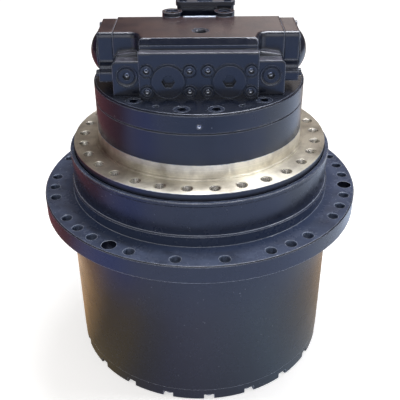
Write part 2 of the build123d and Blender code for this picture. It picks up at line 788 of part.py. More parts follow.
def make_carrier_1():
    body = tube(carrier_1_r, sun_2_shaft_r, carrier_1_hub_bottom, carrier_1_top)
    lower_bore_r = sun_tip_r(sun_1_teeth) + carrier_bore_gap
    body += tube(carrier_1_r, lower_bore_r, carrier_1_bottom, carrier_1_lower_top)
    for post in carrier_posts(planets_1, carrier_1_r, carrier_1_bottom, carrier_1_top):
        body += post
    pin_hole = rod(pin_1_r, carrier_1_bottom - 1, carrier_1_top + 1)
    return body - [at_planet(i, planets_1, centre_1) * pin_hole for i in range(planets_1)]


def make_planet(index, count, teeth, centre, pin_r, bottom, top):
    wheel = gear(teeth, bottom, top) - rod(pin_r + needle_t + running_fit, bottom - 1, top + 1)
    return at_planet(index, count, centre) * Rot(0, 0, planet_turn(index, count, teeth)) * wheel


def make_pins(count, centre, radius, bottom, top):
    return group([at_planet(i, count, centre) * rod(radius, bottom, top) for i in range(count)])


def make_needle_sleeves(count, centre, radius, bottom, top):
    sleeve = tube(radius + needle_t, radius, bottom, top)
    return group([at_planet(i, count, centre) * sleeve for i in range(count)])


def make_washers(count, centre, radius, planet_top, planet_bottom):
    outer_r = radius + needle_t + washer_w
    upper = tube(outer_r, radius, planet_top + washer_gap, planet_top + washer_gap + washer_t)
    lower = tube(outer_r, radius, planet_bottom - washer_gap - washer_t, planet_bottom - washer_gap)
    return group([at_planet(i, count, centre) * washer for i in range(count) for washer in (upper, lower)])


def make_sun_2():
    bottom = planet_2_bottom - sun_end_spare
    top = planet_2_top + sun_end_spare
    teeth = Rot(0, 0, 180.0 / sun_2_teeth) * gear(sun_2_teeth, bottom, top)
    shaft = rod(sun_2_shaft_r, carrier_1_hub_bottom, planet_2_bottom)
    return teeth + shaft - rod(shaft_r + sun_2_bore_gap, carrier_1_hub_bottom - 1, top + 1)


def make_sun_1():
    bottom = planet_1_bottom - sun_end_spare
    teeth = Rot(0, 0, 180.0 / sun_1_teeth) * gear(sun_1_teeth, bottom, planet_1_top + sun_end_spare)
    return teeth + rod(shaft_r, planet_1_top, coupling_middle - shaft_end_gap)


def make_coupling_sleeve():
    half = coupling_length / 2
    return tube(coupling_r, shaft_r, coupling_middle - half, coupling_middle + half)


def make_thrust_plate():
    return tube(thrust_plate_r, thrust_button_r, cover_inner_z, cover_inner_z + thrust_plate_t)


def make_thrust_button():
    return rod(thrust_button_r, cover_inner_z, planet_1_bottom - sun_end_spare - seat_gap)


# Travel motor and parking brake
def make_motor_shaft():
    return rod(shaft_r, coupling_middle + shaft_end_gap, motor_case_top + shaft_bearing_t - bearing_end_gap)


def make_shaft_bearings():
    bore = shaft_r + running_fit
    lower_top = motor_floor_z - bearing_end_gap
    lower = tube(shaft_bearing_r, bore, lower_top - shaft_bearing_t, lower_top)
    upper = tube(shaft_r + upper_bearing_t, bore, motor_case_top, motor_case_top + shaft_bearing_t)
    return group([lower, upper])


def piston_places():
    return [around(piston_circle_r, angle) for angle in equal_angles(piston_count)]


def make_cylinder_block():
    top = block_bottom_z + block_length
    body = tube(block_r, shaft_r, block_bottom_z, top)
    return body - [rod(piston_r, block_bottom_z - 1, top - bore_end_wall, x, y) for x, y in piston_places()]


def make_valve_plate():
    """The plate between the block and the cover, with a kidney-shaped port on each side."""
    bottom = motor_case_top - valve_plate_t
    kidney_outer_r = piston_circle_r + kidney_half_width
    kidney_inner_r = piston_circle_r - kidney_half_width
    body = tube(kidney_outer_r + kidney_rim, kidney_inner_r - kidney_rim, bottom, motor_case_top)
    ring = tube(kidney_outer_r, kidney_inner_r, bottom - 1, motor_case_top + 1)
    side = brick(kidney_bridge, block_r, -block_r, block_r, bottom - 1, motor_case_top + 1)
    kidney = ring & side
    return body - [kidney, Rot(0, 0, 180) * kidney]


def make_swash_plate():
    return tube(motor_bore_r - swash_side_gap, shaft_r + swash_bore_gap, motor_floor_z, swash_top)


def make_pistons():
    barrel_end_z = block_bottom_z - piston_out
    shoe = many_sided(shoe_r, piston_sides, shoe_bottom, shoe_top)
    neck = many_sided(piston_neck_r, piston_sides, shoe_top, barrel_end_z)
    barrel = many_sided(piston_r, piston_sides, barrel_end_z, block_bottom_z + block_length - piston_room)
    piston = shoe + neck + barrel
    return group([Pos(x, y, 0) * piston for x, y in piston_places()])


def make_retainer_plate():
    top = shoe_top + retainer_t
    body = tube(piston_circle_r + shoe_r + retainer_rim, shaft_r + upper_bearing_t, shoe_top, top)
    return body - [rod(piston_neck_r + 1, shoe_top - 1, top + 1, x, y) for x, y in piston_places()]


def make_steel_plates():
    steel = tube(brake_bore_r, block_r + plate_bore_gap, brake_floor_z, brake_floor_z + steel_plate_t)
    return group([Pos(0, 0, i * disc_pitch) * steel for i in range(friction_disc_count + 1)])


def make_friction_discs():
    bottom = brake_floor_z + steel_plate_t + seat_gap
    disc = tube(brake_bore_r - friction_disc_inset, block_r, bottom, bottom + friction_disc_t)
    return group([Pos(0, 0, i * disc_pitch) * disc for i in range(friction_disc_count)])


def brake_spring_places():
    return [around(brake_spring_circle_r, angle) for angle in equal_angles(brake_spring_count)]


def make_brake_piston():
    top = brake_piston_bottom + brake_piston_t
    body = tube(brake_bore_r - running_fit, block_r + brake_piston_gap, brake_piston_bottom, top)
    floor_z = brake_piston_bottom + brake_spring_floor
    pocket_r = brake_spring_r + brake_pocket_gap
    return body - [rod(pocket_r, floor_z, top + 1, x, y) for x, y in brake_spring_places()]


def make_brake_springs():
    bottom = brake_piston_bottom + brake_spring_floor
    inner_r = brake_spring_r - brake_spring_wire
    return group([tube(brake_spring_r, inner_r, bottom, motor_case_top, x, y)
                  for x, y in brake_spring_places()])


# Valve block
def port_centres():
    z = cover_plate_top + port_height
    return [(-port_x, z), (port_x, z)]


def port_screw_places():
    return [(x + sx * port_screw_dx / 2, z + sz * port_screw_dz / 2)
            for x, z in port_centres() for sx in (-1, 1) for sz in (-1, 1)]


def side_prism(outline, left, right):
    """A body with a closed (y, z) outline, standing between two places along X."""
    return Pos(left, 0, 0) * extrude(Plane.YZ * make_face(Polyline(*outline, close=True)), right - left)


def shoulder_right():
    """The cast shoulder that carries a small plug, with the ridge that runs up to the nose."""
    inner_x = pad_half_width - shoulder_overlap
    top = cover_plate_top + shoulder_height
    ridge_y = wing_front_y - ridge_reach
    boss = brick(inner_x, block_half_width, shoulder_front_y, wing_front_y, cover_plate_top, top)
    outer = boss.edges().filter_by(Axis.Y).group_by(Axis.Z)[-1].sort_by(Axis.X)[-1]
    boss = fillet(outer, shoulder_round)
    ridge_outline = [
        (inner_x, cover_plate_top), (block_half_width, cover_plate_top),
        (block_half_width, top - shoulder_round), (block_half_width - shoulder_round, top + ridge_rise_out),
        (inner_x, top + ridge_rise_in),
    ]
    ridge = extrude(Plane.XZ * make_face(Polyline(*ridge_outline, close=True)), ridge_reach)
    ridge = Pos(0, wing_front_y, 0) * ridge
    front = ridge.edges().filter_by(lambda edge: abs(edge.center().Y - ridge_y) < 0.01).group_by(Axis.Z)[-1]
    return boss + fillet(front, ridge_round)


def make_valve_block():
    core = brick(-block_half_width, block_half_width, wing_front_y, block_back_y, cover_plate_top, block_top)
    half = nose_half_width
    nose = plate([(-half - nose_flare, wing_front_y + 1), (-half, nose_front_y), (half, nose_front_y),
                  (half + nose_flare, wing_front_y + 1)], cover_plate_top, block_top)
    body = core + nose
    upright = body.edges().filter_by(Axis.Z)
    body = fillet(upright.filter_by(lambda edge: abs(edge.center().Y - wing_front_y) < 0.01
                                    and abs(edge.center().X) < block_half_width - 1), nose_blend)
    front = body.edges().filter_by(Axis.X).group_by(Axis.Z)[-1].sort_by(Axis.Y)[0]
    body = chamfer(front, nose_chamfer_down, nose_chamfer_back, reference=body.faces().sort_by(Axis.Y)[0])
    top_face = body.faces().filter_by(Axis.Z).sort_by(Axis.Z)[-1]
    bend = [edge for edge in top_face.edges()
            if edge.center().Y < wing_front_y + 1 and abs(edge.center().X) > half - 1]
    body = fillet(bend, wing_round)
    pad = brick(-pad_half_width, pad_half_width, pad_front_y, nose_front_y, cover_plate_top,
                cover_plate_top + pad_height)
    pad = fillet(pad.edges().filter_by(Axis.X).group_by(Axis.Z)[-1].sort_by(Axis.Y)[0], edge_round)
    shoulder = shoulder_right()
    body = body + pad + shoulder + mirror(shoulder, Plane.YZ)
    cartridge_top = cover_plate_top + cartridge_height
    for side in (-1, 1):
        body += rod(cartridge_r, cover_plate_top, cartridge_top, side * cartridge_x, cartridge_y)
    cuts = []
    recess_y = pad_front_y + port_recess_depth
    stem_end_y = pad_front_y + port_stem_depth + port_hole_spare
    for x, z in port_centres():
        cuts.append(facing_front(port_recess_r, pad_front_y - 1, recess_y, x, z))
        cuts.append(facing_front(port_stem_r, pad_front_y, stem_end_y, x, z))
    seat_y = pad_front_y + port_screw_seat_depth
    screw_end_y = seat_y + port_screw_length + screw_hole_spare
    for x, z in port_screw_places():
        cuts.append(facing_front(port_screw_seat_r, pad_front_y - 1, seat_y, x, z))
        cuts.append(facing_front(port_screw_r, pad_front_y, screw_end_y, x, z))
    small_plug_z = cover_plate_top + small_plug_height
    plug_seat_y = shoulder_front_y + small_plug_seat_depth
    hole_y = shoulder_front_y + small_plug_depth + screw_hole_spare
    for side in (-1, 1):
        x = side * small_plug_x
        cuts.append(facing_front(small_plug_seat_r, shoulder_front_y - 1, plug_seat_y, x, small_plug_z))
        cuts.append(facing_front(small_plug_r, shoulder_front_y, hole_y, x, small_plug_z))
        cuts.append(rod(cartridge_plug_r, cartridge_top - cartridge_plug_depth, cartridge_top + 1,
                        side * cartridge_x, cartridge_y))
    cuts.append(rod(top_port_seat_r, block_top - top_port_seat_depth, block_top + 1, top_port_x, top_port_y))
    cuts.append(rod(top_port_r, block_top - top_port_depth, block_top + 1, top_port_x, top_port_y))
    cuts.append(facing_right(spool_bore_r, -block_half_width - 1, block_half_width + 1, spool_y, spool_z))
    return body - cuts


def make_port_plugs():
    pieces = []
    front = pad_front_y - port_plug_proud
    for x, z in port_centres():
        head = facing_front(port_plug_r, front, pad_front_y + port_recess_depth, x, z)
        stem = facing_front(port_stem_r, pad_front_y, pad_front_y + port_stem_depth, x, z)
        socket = Pos(x, front, z) * Rot(90, 0, 0) * hex_socket(port_plug_across, port_plug_socket, 0)
        pieces.append(head + stem - socket)
    return group(pieces)


def make_port_screws():
    screw = socket_screw(port_screw_head_r, port_screw_head_h, port_screw_r, port_screw_length,
                         port_screw_across)
    screw = Rot(90, 0, 0) * screw
    seat = pad_front_y + port_screw_seat_depth
    return group([Pos(x, seat, z) * screw for x, z in port_screw_places()])


def front_plugs():
    pieces = []
    z = cover_plate_top + small_plug_height
    front = shoulder_front_y + small_plug_sunk
    for side in (-1, 1):
        x = side * small_plug_x
        body = facing_front(small_plug_r, front, shoulder_front_y + small_plug_depth, x, z)
        socket = Pos(x, front, z) * Rot(90, 0, 0) * hex_socket(small_plug_across, small_plug_socket, 0)
        pieces.append(body - socket)
    return pieces


def cartridge_plugs():
    boss_top = cover_plate_top + cartridge_height
    top = boss_top - cartridge_plug_sunk
    plug = rod(cartridge_plug_r, boss_top - cartridge_plug_depth, top)
    plug = plug - hex_socket(small_plug_across, cartridge_plug_socket, top)
    return [Pos(side * cartridge_x, cartridge_y, 0) * plug for side in (-1, 1)]


def make_small_plugs():
    return group(front_plugs() + cartridge_plugs() + cover_plate_plugs())


def end_cover_right():
    x0, x1 = block_half_width, end_cover_outer_x
    bottom = block_top - end_cover_height
    body = brick(x0, x1, wing_front_y, end_cover_back_y, bottom, block_top)
    body = fillet(body.edges().filter_by(Axis.X), wing_round)
    inner_y = wing_front_y + end_cover_foot_reach
    ridge_y = wing_front_y - end_cover_foot_reach / 2
    slope_z = end_cover_foot_z + end_cover_foot_h
    ridge_z = slope_z - end_cover_ridge_drop
    body += side_prism([
        (inner_y, end_cover_foot_z), (end_cover_foot_y, end_cover_foot_z),
        (end_cover_foot_y, end_cover_foot_z + end_cover_foot_front_h),
        (ridge_y, ridge_z - end_cover_ridge_step), (ridge_y, ridge_z), (wing_front_y, slope_z),
        (inner_y, slope_z),
    ], x0, x1)
    cuts = [facing_right(spool_bore_r, x0 - 1, x1 + 1, spool_y, spool_z)]
    cuts += [facing_right(end_bolt_r, x0 - 1, x1 + 1, y, z) for y, z in end_bolt_places()]
    return body - cuts


def end_bolt_places():
    bottom = block_top - end_cover_height
    return [(end_cover_back_y - end_bolt_inset, block_top - end_bolt_inset),
            (end_cover_back_y - end_bolt_inset, bottom + end_bolt_inset),
            (end_cover_foot_y + foot_bolt_inset, end_cover_foot_z + foot_bolt_lift)]


def both_sides(right):
    """A piece on the right end and its mirror image on the left."""
    return [right, mirror(right, Plane.YZ)]


def make_end_bolts():
    screw = socket_screw(end_bolt_head_r, end_bolt_head_h, end_bolt_r, end_cover_t, end_bolt_across)
    screw = Rot(0, 90, 0) * screw
    return group([piece for y, z in end_bolt_places()
                  for piece in both_sides(Pos(end_cover_outer_x, y, z) * screw)])


def make_spool_caps():
    """Domed caps, low enough at their rims to pass through the bore that the frame pilot fits."""
    dome_h = spool_cap_t - spool_cap_rim
    ball_r = (spool_cap_r ** 2 + dome_h ** 2) / (2 * dome_h)
    dome = rod(spool_cap_r, 0, spool_cap_t) & Pos(0, 0, spool_cap_t - ball_r) * Sphere(ball_r)
    dome = Pos(end_cover_outer_x, spool_y, spool_z) * Rot(0, 90, 0) * dome
    stem = facing_right(spool_bore_r, end_cover_outer_x - spool_cap_stem, end_cover_outer_x, spool_y, spool_z)
    return group(both_sides(dome + stem))


def make_spool():
    half = spool_length / 2
    land = spool_bore_r - running_fit
    waist = land - spool_groove_depth
    inner = spool_middle_land / 2
    outer = inner + spool_groove
    outline = [(0, -half), (land, -half), (land, -outer), (waist, -outer), (waist, -inner), (land, -inner),
               (land, inner), (waist, inner), (waist, outer), (land, outer), (land, half), (0, half)]
    return Pos(0, spool_y, spool_z) * Rot(0, 90, 0) * turned(outline)


def make_spool_springs():
    """Two springs, drawn shorter by the spool's travel so that it can reach both ends."""
    start = spool_length / 2 + spool_travel + seat_gap + spool_spring_wire_r
    end = end_cover_outer_x - spool_cap_stem - spool_spring_wire_r
    wire = Helix(pitch=(end - start) / spool_spring_turns, height=end - start, radius=spool_spring_r)
    coil = sweep((wire ^ 0) * RegularPolygon(spool_spring_wire_r, 6), path=wire)
    return group(both_sides(Pos(start, spool_y, spool_z) * Rot(0, 90, 0) * coil))


def rear_outline(grow):
    """The rear valve body's rounded outline, seen from above."""
    width = rear_right_x - rear_left_x + 2 * grow
    depth = rear_depth + 2 * grow
    middle = Pos((rear_left_x + rear_right_x) / 2, (rear_front_y + rear_back_y) / 2)
    return middle * RectangleRounded(width, depth, rear_corner_r + grow)


def rear_screw_places():
    inset = rear_screw_inset
    return [(x, y) for x in (rear_left_x + inset, rear_right_x - inset)
            for y in (rear_front_y + inset, rear_back_y - inset)]


def make_rear_valve_body():
    body = extrude(Pos(0, 0, cover_plate_top) * rear_outline(0), rear_height)
    top = cover_plate_top + rear_height
    cuts = [rod(cartridge_r + cartridge_fit, cover_plate_top - 1, top + 1, side * cartridge_x, cartridge_y)
            for side in (-1, 1)]
    cuts += [rod(rear_screw_r, top - rear_screw_length, top + 1, x, y) for x, y in rear_screw_places()]
    return body - cuts


def make_rear_cover():
    bottom = cover_plate_top + rear_height
    body = extrude(Pos(0, 0, bottom) * rear_outline(rear_cover_overhang), rear_cover_t)
    top = bottom + rear_cover_t
    return body - [rod(rear_screw_r, bottom - 1, top + 1, x, y) for x, y in rear_screw_places()]


def make_rear_cover_screws():
    seat = cover_plate_top + rear_height + rear_cover_t
    screw = socket_screw(rear_screw_head_r, rear_screw_head_h, rear_screw_r, rear_screw_length,
                         rear_screw_across)
    return group([Pos(x, y, seat) * screw for x, y in rear_screw_places()])


def make_top_plug():
    seat = cover_plate_top + rear_height + rear_cover_t
    plug = many_sided(top_plug_r, 6, seat, seat + top_plug_h)
    return Pos(top_plug_x, rear_front_y + top_plug_inset, 0) * plug


def make_all():
    nodes = {
        "spindle": make_spindle(),
        "motor_cover_plate": make_motor_cover_plate(),
        "cover_plate_bolts": make_cover_plate_bolts(),
        "valve_block": make_valve_block(),
        "port_plugs": make_port_plugs(),
        "port_screws": make_port_screws(),
        "small_plugs": make_small_plugs(),
        "end_covers": group(both_sides(end_cover_right())),
        "end_cover_bolts": make_end_bolts(),
        "spool_caps": make_spool_caps(),
        "counterbalance_spool": make_spool(),
        "spool_springs": make_spool_springs(),
        "rear_valve_body": make_rear_valve_body(),
        "rear_valve_cover": make_rear_cover(),
        "rear_cover_screws": make_rear_cover_screws(),
        "top_plug": make_top_plug(),
        "gear_housing": make_gear_housing(),
        "gear_cover": make_gear_cover(),
        "gear_cover_bolts": make_gear_cover_bolts(),
        "oil_plugs": make_oil_plugs(),
        "bearing_inner_races": make_bearing_races(True),
        "bearing_outer_races": make_bearing_races(False),
        "upper_rollers": make_rollers(upper_bearing_top, False),
        "lower_rollers": make_rollers(lower_bearing_top, True),
        "ring_nut": make_ring_nut(),
        "fixed_seal_ring": make_fixed_seal_ring(),
        "turning_seal_ring": make_turning_seal_ring(),
        "fixed_seal_rubber": make_seal_rubber(-frame_flange_t + seal_recess_depth / 2),
        "turning_seal_rubber": make_seal_rubber(upper_bearing_top + seal_recess_depth / 2),
        "second_carrier": make_carrier_2(),
        "second_planet_pins": make_pins(planets_2, centre_2, pin_2_r, carrier_2_lower_bottom, spindle_end_z),
        "second_planet_bearings": make_needle_sleeves(
            planets_2, centre_2, pin_2_r, planet_2_bottom, planet_2_top),
        "second_planet_washers": make_washers(planets_2, centre_2, pin_2_r, planet_2_top, planet_2_bottom),
        "second_sun_gear": make_sun_2(),
        "first_carrier": make_carrier_1(),
        "first_planet_pins": make_pins(planets_1, centre_1, pin_1_r, carrier_1_bottom, carrier_1_top),
        "first_planet_bearings": make_needle_sleeves(
            planets_1, centre_1, pin_1_r, planet_1_bottom, planet_1_top),
        "first_planet_washers": make_washers(planets_1, centre_1, pin_1_r, planet_1_top, planet_1_bottom),
        "first_sun_gear": make_sun_1(),
        "coupling_sleeve": make_coupling_sleeve(),
        "thrust_plate": make_thrust_plate(),
        "thrust_button": make_thrust_button(),
        "motor_shaft": make_motor_shaft(),
        "shaft_bearings": make_shaft_bearings(),
        "cylinder_block": make_cylinder_block(),
        "valve_plate": make_valve_plate(),
        "swash_plate": make_swash_plate(),
        "pistons": make_pistons(),
        "retainer_plate": make_retainer_plate(),
        "brake_steel_plates": make_steel_plates(),
        "brake_friction_discs": make_friction_discs(),
        "brake_piston": make_brake_piston(),
        "brake_springs": make_brake_springs(),
    }
    for i in range(planets_1):
        nodes[f"first_planet_{i + 1}"] = make_planet(
            i, planets_1, planet_1_teeth, centre_1, pin_1_r, planet_1_bottom, planet_1_top)
    for i in range(planets_2):
        nodes[f"second_planet_{i + 1}"] = make_planet(
            i, planets_2, planet_2_teeth, centre_2, pin_2_r, planet_2_bottom, planet_2_top)
    return nodes


for name, shape in make_all().items():
    export_step(shape, f"parts/{name}.step")
    print(name, "written")
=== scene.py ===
# %% [markdown]
# Excavator final drive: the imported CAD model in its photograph's light.
# The drive is turned and milled iron under semi-gloss black enamel, with one bare machined flange where it
# bolts to the track frame. Every solid comes from the CAD model. This script gives each solid its finish, adds
# the details that are too fine for the solids, and sets up the camera, the floor and the lights.

# %% Load the frame
import json
import math

import bmesh
import bpy
from mathutils import Matrix, Vector


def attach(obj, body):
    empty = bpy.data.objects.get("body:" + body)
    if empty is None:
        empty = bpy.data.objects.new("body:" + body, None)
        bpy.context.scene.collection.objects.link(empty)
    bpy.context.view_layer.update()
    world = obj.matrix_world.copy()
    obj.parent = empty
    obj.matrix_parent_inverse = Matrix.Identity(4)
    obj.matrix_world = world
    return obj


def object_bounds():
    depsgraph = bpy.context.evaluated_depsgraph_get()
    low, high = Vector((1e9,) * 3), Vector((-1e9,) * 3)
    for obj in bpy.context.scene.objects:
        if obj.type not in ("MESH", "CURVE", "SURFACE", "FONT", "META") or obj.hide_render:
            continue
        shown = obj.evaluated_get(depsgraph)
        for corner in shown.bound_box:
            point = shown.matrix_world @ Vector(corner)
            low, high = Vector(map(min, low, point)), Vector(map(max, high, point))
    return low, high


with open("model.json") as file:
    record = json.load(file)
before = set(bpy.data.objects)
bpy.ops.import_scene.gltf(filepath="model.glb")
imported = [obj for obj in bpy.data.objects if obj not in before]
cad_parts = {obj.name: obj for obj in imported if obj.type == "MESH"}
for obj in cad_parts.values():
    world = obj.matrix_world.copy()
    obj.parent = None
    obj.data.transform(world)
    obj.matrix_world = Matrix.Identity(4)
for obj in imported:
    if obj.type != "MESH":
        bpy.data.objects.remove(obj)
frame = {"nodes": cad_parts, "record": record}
cad_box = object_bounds()
nodes = frame["nodes"]
MM = 0.001
print(len(nodes), "nodes loaded")

# %% [markdown]
# Colours are written as sRGB hex values, as a paint chart or a colour picker gives them. Blender's shader
# sockets want linear light, so one function turns a hex value into a linear colour.

# %% Colours
def linear(hex_colour):
    """A linear RGBA colour from an sRGB hex value such as '#20242c'."""
    parts = [int(hex_colour[i:i + 2], 16) / 255 for i in (1, 3, 5)]
    return [c / 12.92 if c <= 0.04045 else ((c + 0.055) / 1.055) ** 2.4 for c in parts] + [1.0]


print("the enamel's black in linear light:", [round(part, 4) for part in linear("#0f1422")])

# %% [markdown]
# A material is a small tree of nodes. One helper adds a node: inputs are set by name, and an input that is
# given another node's output is linked to it. A Mix node holds one pair of inputs for each kind of value, and
# the pairs share their names, so those inputs are reached by number.

# %% Nodes
FLOAT_A, FLOAT_B, FLOAT_OUT = 2, 3, 0
VECTOR_A, VECTOR_B, VECTOR_OUT = 4, 5, 1
COLOUR_A, COLOUR_B, COLOUR_OUT = 6, 7, 2


def add_node(tree, kind, inputs=None, **settings):
    """Adds a node with its settings, and sets or links its inputs by name or number."""
    node = tree.nodes.new(kind)
    for name, value in settings.items():
        setattr(node, name, value)
    for name, value in (inputs or {}).items():
        if isinstance(value, bpy.types.NodeSocket):
            tree.links.new(value, node.inputs[name])
        else:
            node.inputs[name].default_value = value
    return node


# %% [markdown]
# Every pattern is drawn in the object's own coordinates, which are metres here, so that it stays on the piece
# when the piece turns. A noise pattern's scale is then worked out from the real size of its spots.

# %% Materials and the places on them
def new_material(name):
    """An empty material, its tree of nodes, and the place on the object in metres."""
    material = bpy.data.materials.new(name)
    material.use_nodes = True
    tree = material.node_tree
    tree.nodes.clear()
    place = add_node(tree, "ShaderNodeTexCoord").outputs["Object"]
    return material, tree, place


def finish_material(tree, surface):
    """Gives the finished surface to the material's output."""
    add_node(tree, "ShaderNodeOutputMaterial", {"Surface": surface})


def per_metre(size_mm):
    """The scale of a noise pattern whose spots are about size_mm across."""
    return 1000.0 / size_mm


def from_the_axis(tree, place):
    """The distance from the drive's upright axis, in metres."""
    flat = add_node(tree, "ShaderNodeVectorMath", {0: place, 1: (1.0, 1.0, 0.0)}, operation="MULTIPLY")
    away = add_node(tree, "ShaderNodeVectorMath", {0: flat.outputs["Vector"]}, operation="LENGTH")
    return away.outputs["Value"]


print("orange peel of 1.6 mm has a noise scale of", per_metre(1.6))

# %% [markdown]
# Two things show on every painted edge here. The paint draws thin over a sharp corner, so it is paler there,
# and the pale colour that the mask mixes in is also a painted highlight, standing in for the line of light that
# the edge catches. A corner is never perfectly sharp, so it catches a line of light as well. The Bevel node
# gives the normal that a slightly rounded edge would have. Where it differs from the surface's normal there is
# an edge. The mask compares the two by the cosine between them, from 10 degrees apart, where it starts, to 33,
# where it is full.

# %% Edges
EDGE_STARTS, EDGE_FULL = 0.985, 0.84


def edge_amount(tree, radius_mm):
    """A mask that is 1 on edges and 0 on flat ground, and the rounded normal."""
    rounded = add_node(tree, "ShaderNodeBevel", {"Radius": radius_mm * MM}, samples=6)
    surface = add_node(tree, "ShaderNodeNewGeometry")
    alike = add_node(tree, "ShaderNodeVectorMath", {0: rounded.outputs["Normal"], 1: surface.outputs["Normal"]},
                     operation="DOT_PRODUCT")
    mask = add_node(tree, "ShaderNodeMapRange", {"Value": alike.outputs["Value"], "From Min": EDGE_STARTS,
                                                 "From Max": EDGE_FULL})
    return mask.outputs["Result"], rounded.outputs["Normal"]


# %% [markdown]
# The enamel is an alkyd machinery paint, sprayed over iron. It is black with a blue cast, and most of what the
# eye sees on it is mirrored from round it, so its own colour is nearly black. It is a little uneven, in clouds
# about 90 mm across, which keeps a large face from looking flat.

# %% The paint's own colour
def black_paint(tree, place, raggedness):
    cloud = add_node(tree, "ShaderNodeTexNoise", {"Vector": place, "Scale": per_metre(90), "Detail": 5.0,
                                                   "Roughness": raggedness})
    return add_node(tree, "ShaderNodeMix", {"Factor": cloud.outputs["Fac"], COLOUR_A: linear("#0f1422"),
                                            COLOUR_B: linear("#171d2e")}, data_type="RGBA").outputs[COLOUR_OUT]


# %% [markdown]
# Whatever faces up gets a paler film in patches, which is dust and a painted sheen at once: bluish grey on the
# turned flange, and on top of the valve block a brown that is a painted reflection of the umber wall behind.
# The mask reads how far the surface faces up.

# %% Dust and painted sheen on the faces that look up
DUST_AND_SHEEN_PATCH_MM = 40
BLOCK_TOP_MM = 205.0


def dust_and_sheen_on_top(tree, place, colour, dust_and_sheen, amount, top_painted_reflection=None):
    """Mixes dust and painted sheen into a colour, and on the block's top a painted reflection, if one is given."""
    surface = add_node(tree, "ShaderNodeNewGeometry")
    facing = add_node(tree, "ShaderNodeSeparateXYZ", {"Vector": surface.outputs["Normal"]})
    up = add_node(tree, "ShaderNodeMapRange", {"Value": facing.outputs["Z"], "From Min": 0.9, "From Max": 0.99,
                                               "To Max": amount})
    patch = add_node(tree, "ShaderNodeTexNoise", {"Vector": place, "Scale": per_metre(DUST_AND_SHEEN_PATCH_MM),
                                                   "Detail": 8.0, "Roughness": 0.68})
    uneven = add_node(tree, "ShaderNodeMapRange", {"Value": patch.outputs["Fac"], "From Min": 0.36,
                                                   "From Max": 0.62, "To Min": 0.45})
    film = add_node(tree, "ShaderNodeMath", {0: up.outputs["Result"], 1: uneven.outputs["Result"]},
                    operation="MULTIPLY")
    tone = linear(dust_and_sheen)
    # On the block's top the film takes a brown that is a painted reflection of the umber wall.
    if top_painted_reflection:
        apart = add_node(tree, "ShaderNodeSeparateXYZ", {"Vector": place})
        high = add_node(tree, "ShaderNodeMapRange", {"Value": apart.outputs["Z"],
                                                     "From Min": (BLOCK_TOP_MM - 2.0) * MM,
                                                     "From Max": BLOCK_TOP_MM * MM})
        tone = add_node(tree, "ShaderNodeMix", {"Factor": high.outputs["Result"], COLOUR_A: tone,
                                                COLOUR_B: linear(top_painted_reflection)}, data_type="RGBA").outputs[COLOUR_OUT]
    return add_node(tree, "ShaderNodeMix", {"Factor": film.outputs["Value"], COLOUR_A: colour, COLOUR_B: tone},
                    data_type="RGBA").outputs[COLOUR_OUT]


# %% [markdown]
# In the step where the housing's neck meets the sprocket flange, a bluish colour is mixed in as a painted
# reflection of the floor that the step mirrors. It gets stronger from half-way down the neck to the flange's
# face, and it ends 258 to 264 mm from the axis.

# %% Painted reflection in the step above the sprocket flange
NECK_MIDDLE_MM, STEP_MM, FLANGE_FACE_MM = -62.0, -84.0, -97.0
STEP_RADIUS_MM, REFLECTION_ENDS_RADIUS_MM = 258.0, 264.0


def painted_reflection_in_the_step(tree, place, colour, dust_and_sheen):
    apart = add_node(tree, "ShaderNodeSeparateXYZ", {"Vector": place})
    under = add_node(tree, "ShaderNodeMapRange", {"Value": apart.outputs["Z"], "From Min": NECK_MIDDLE_MM * MM,
                                                  "From Max": STEP_MM * MM, "To Max": 0.75})
    inside = add_node(tree, "ShaderNodeMapRange", {"Value": from_the_axis(tree, place),
                                                   "From Min": REFLECTION_ENDS_RADIUS_MM * MM,
                                                   "From Max": STEP_RADIUS_MM * MM})
    above = add_node(tree, "ShaderNodeMath", {0: apart.outputs["Z"], 1: FLANGE_FACE_MM * MM},
                     operation="GREATER_THAN")
    near = add_node(tree, "ShaderNodeMath", {0: under.outputs["Result"], 1: inside.outputs["Result"]},
                    operation="MULTIPLY")
    step_reflection_mask = add_node(tree, "ShaderNodeMath", {0: near.outputs["Value"], 1: above.outputs["Value"]},
                       operation="MULTIPLY")
    return add_node(tree, "ShaderNodeMix", {"Factor": step_reflection_mask.outputs["Value"], COLOUR_A: colour,
                                            COLOUR_B: linear(dust_and_sheen)}, data_type="RGBA").outputs[COLOUR_OUT]


# %% [markdown]
# Specks of dust that fell into the wet film stay in it as small pale dots, a few in one place and none in the
# next. Voronoi cells give the dots, and a slow noise says where they are.

# %% Specks in the film
def specks_in_the_film(tree, place, colour):
    cells = add_node(tree, "ShaderNodeTexVoronoi", {"Vector": place, "Scale": per_metre(9)})
    dot = add_node(tree, "ShaderNodeMapRange", {"Value": cells.outputs["Distance"], "From Min": 0.12,
                                                "From Max": 0.06, "To Max": 0.7})
    sparse = add_node(tree, "ShaderNodeTexNoise", {"Vector": place, "Scale": per_metre(60), "Detail": 2.0})
    few = add_node(tree, "ShaderNodeMapRange", {"Value": sparse.outputs["Fac"], "From Min": 0.53,
                                                "From Max": 0.62})
    amount = add_node(tree, "ShaderNodeMath", {0: dot.outputs["Result"], 1: few.outputs["Result"]},
                      operation="MULTIPLY")
    return add_node(tree, "ShaderNodeMix", {"Factor": amount.outputs["Value"], COLOUR_A: colour,
                                            COLOUR_B: linear("#9aa0ab")}, data_type="RGBA").outputs[COLOUR_OUT]


# %% [markdown]
# The valve block is a sand casting whose wings and shoulders are rounder than its machined pad in the middle.
# So the rounded normal comes from a wider bevel out there, and from a narrow one on the pad.

# %% Rounder edges on the cast sides
PAD_HALF_WIDTH_MM = 76.0


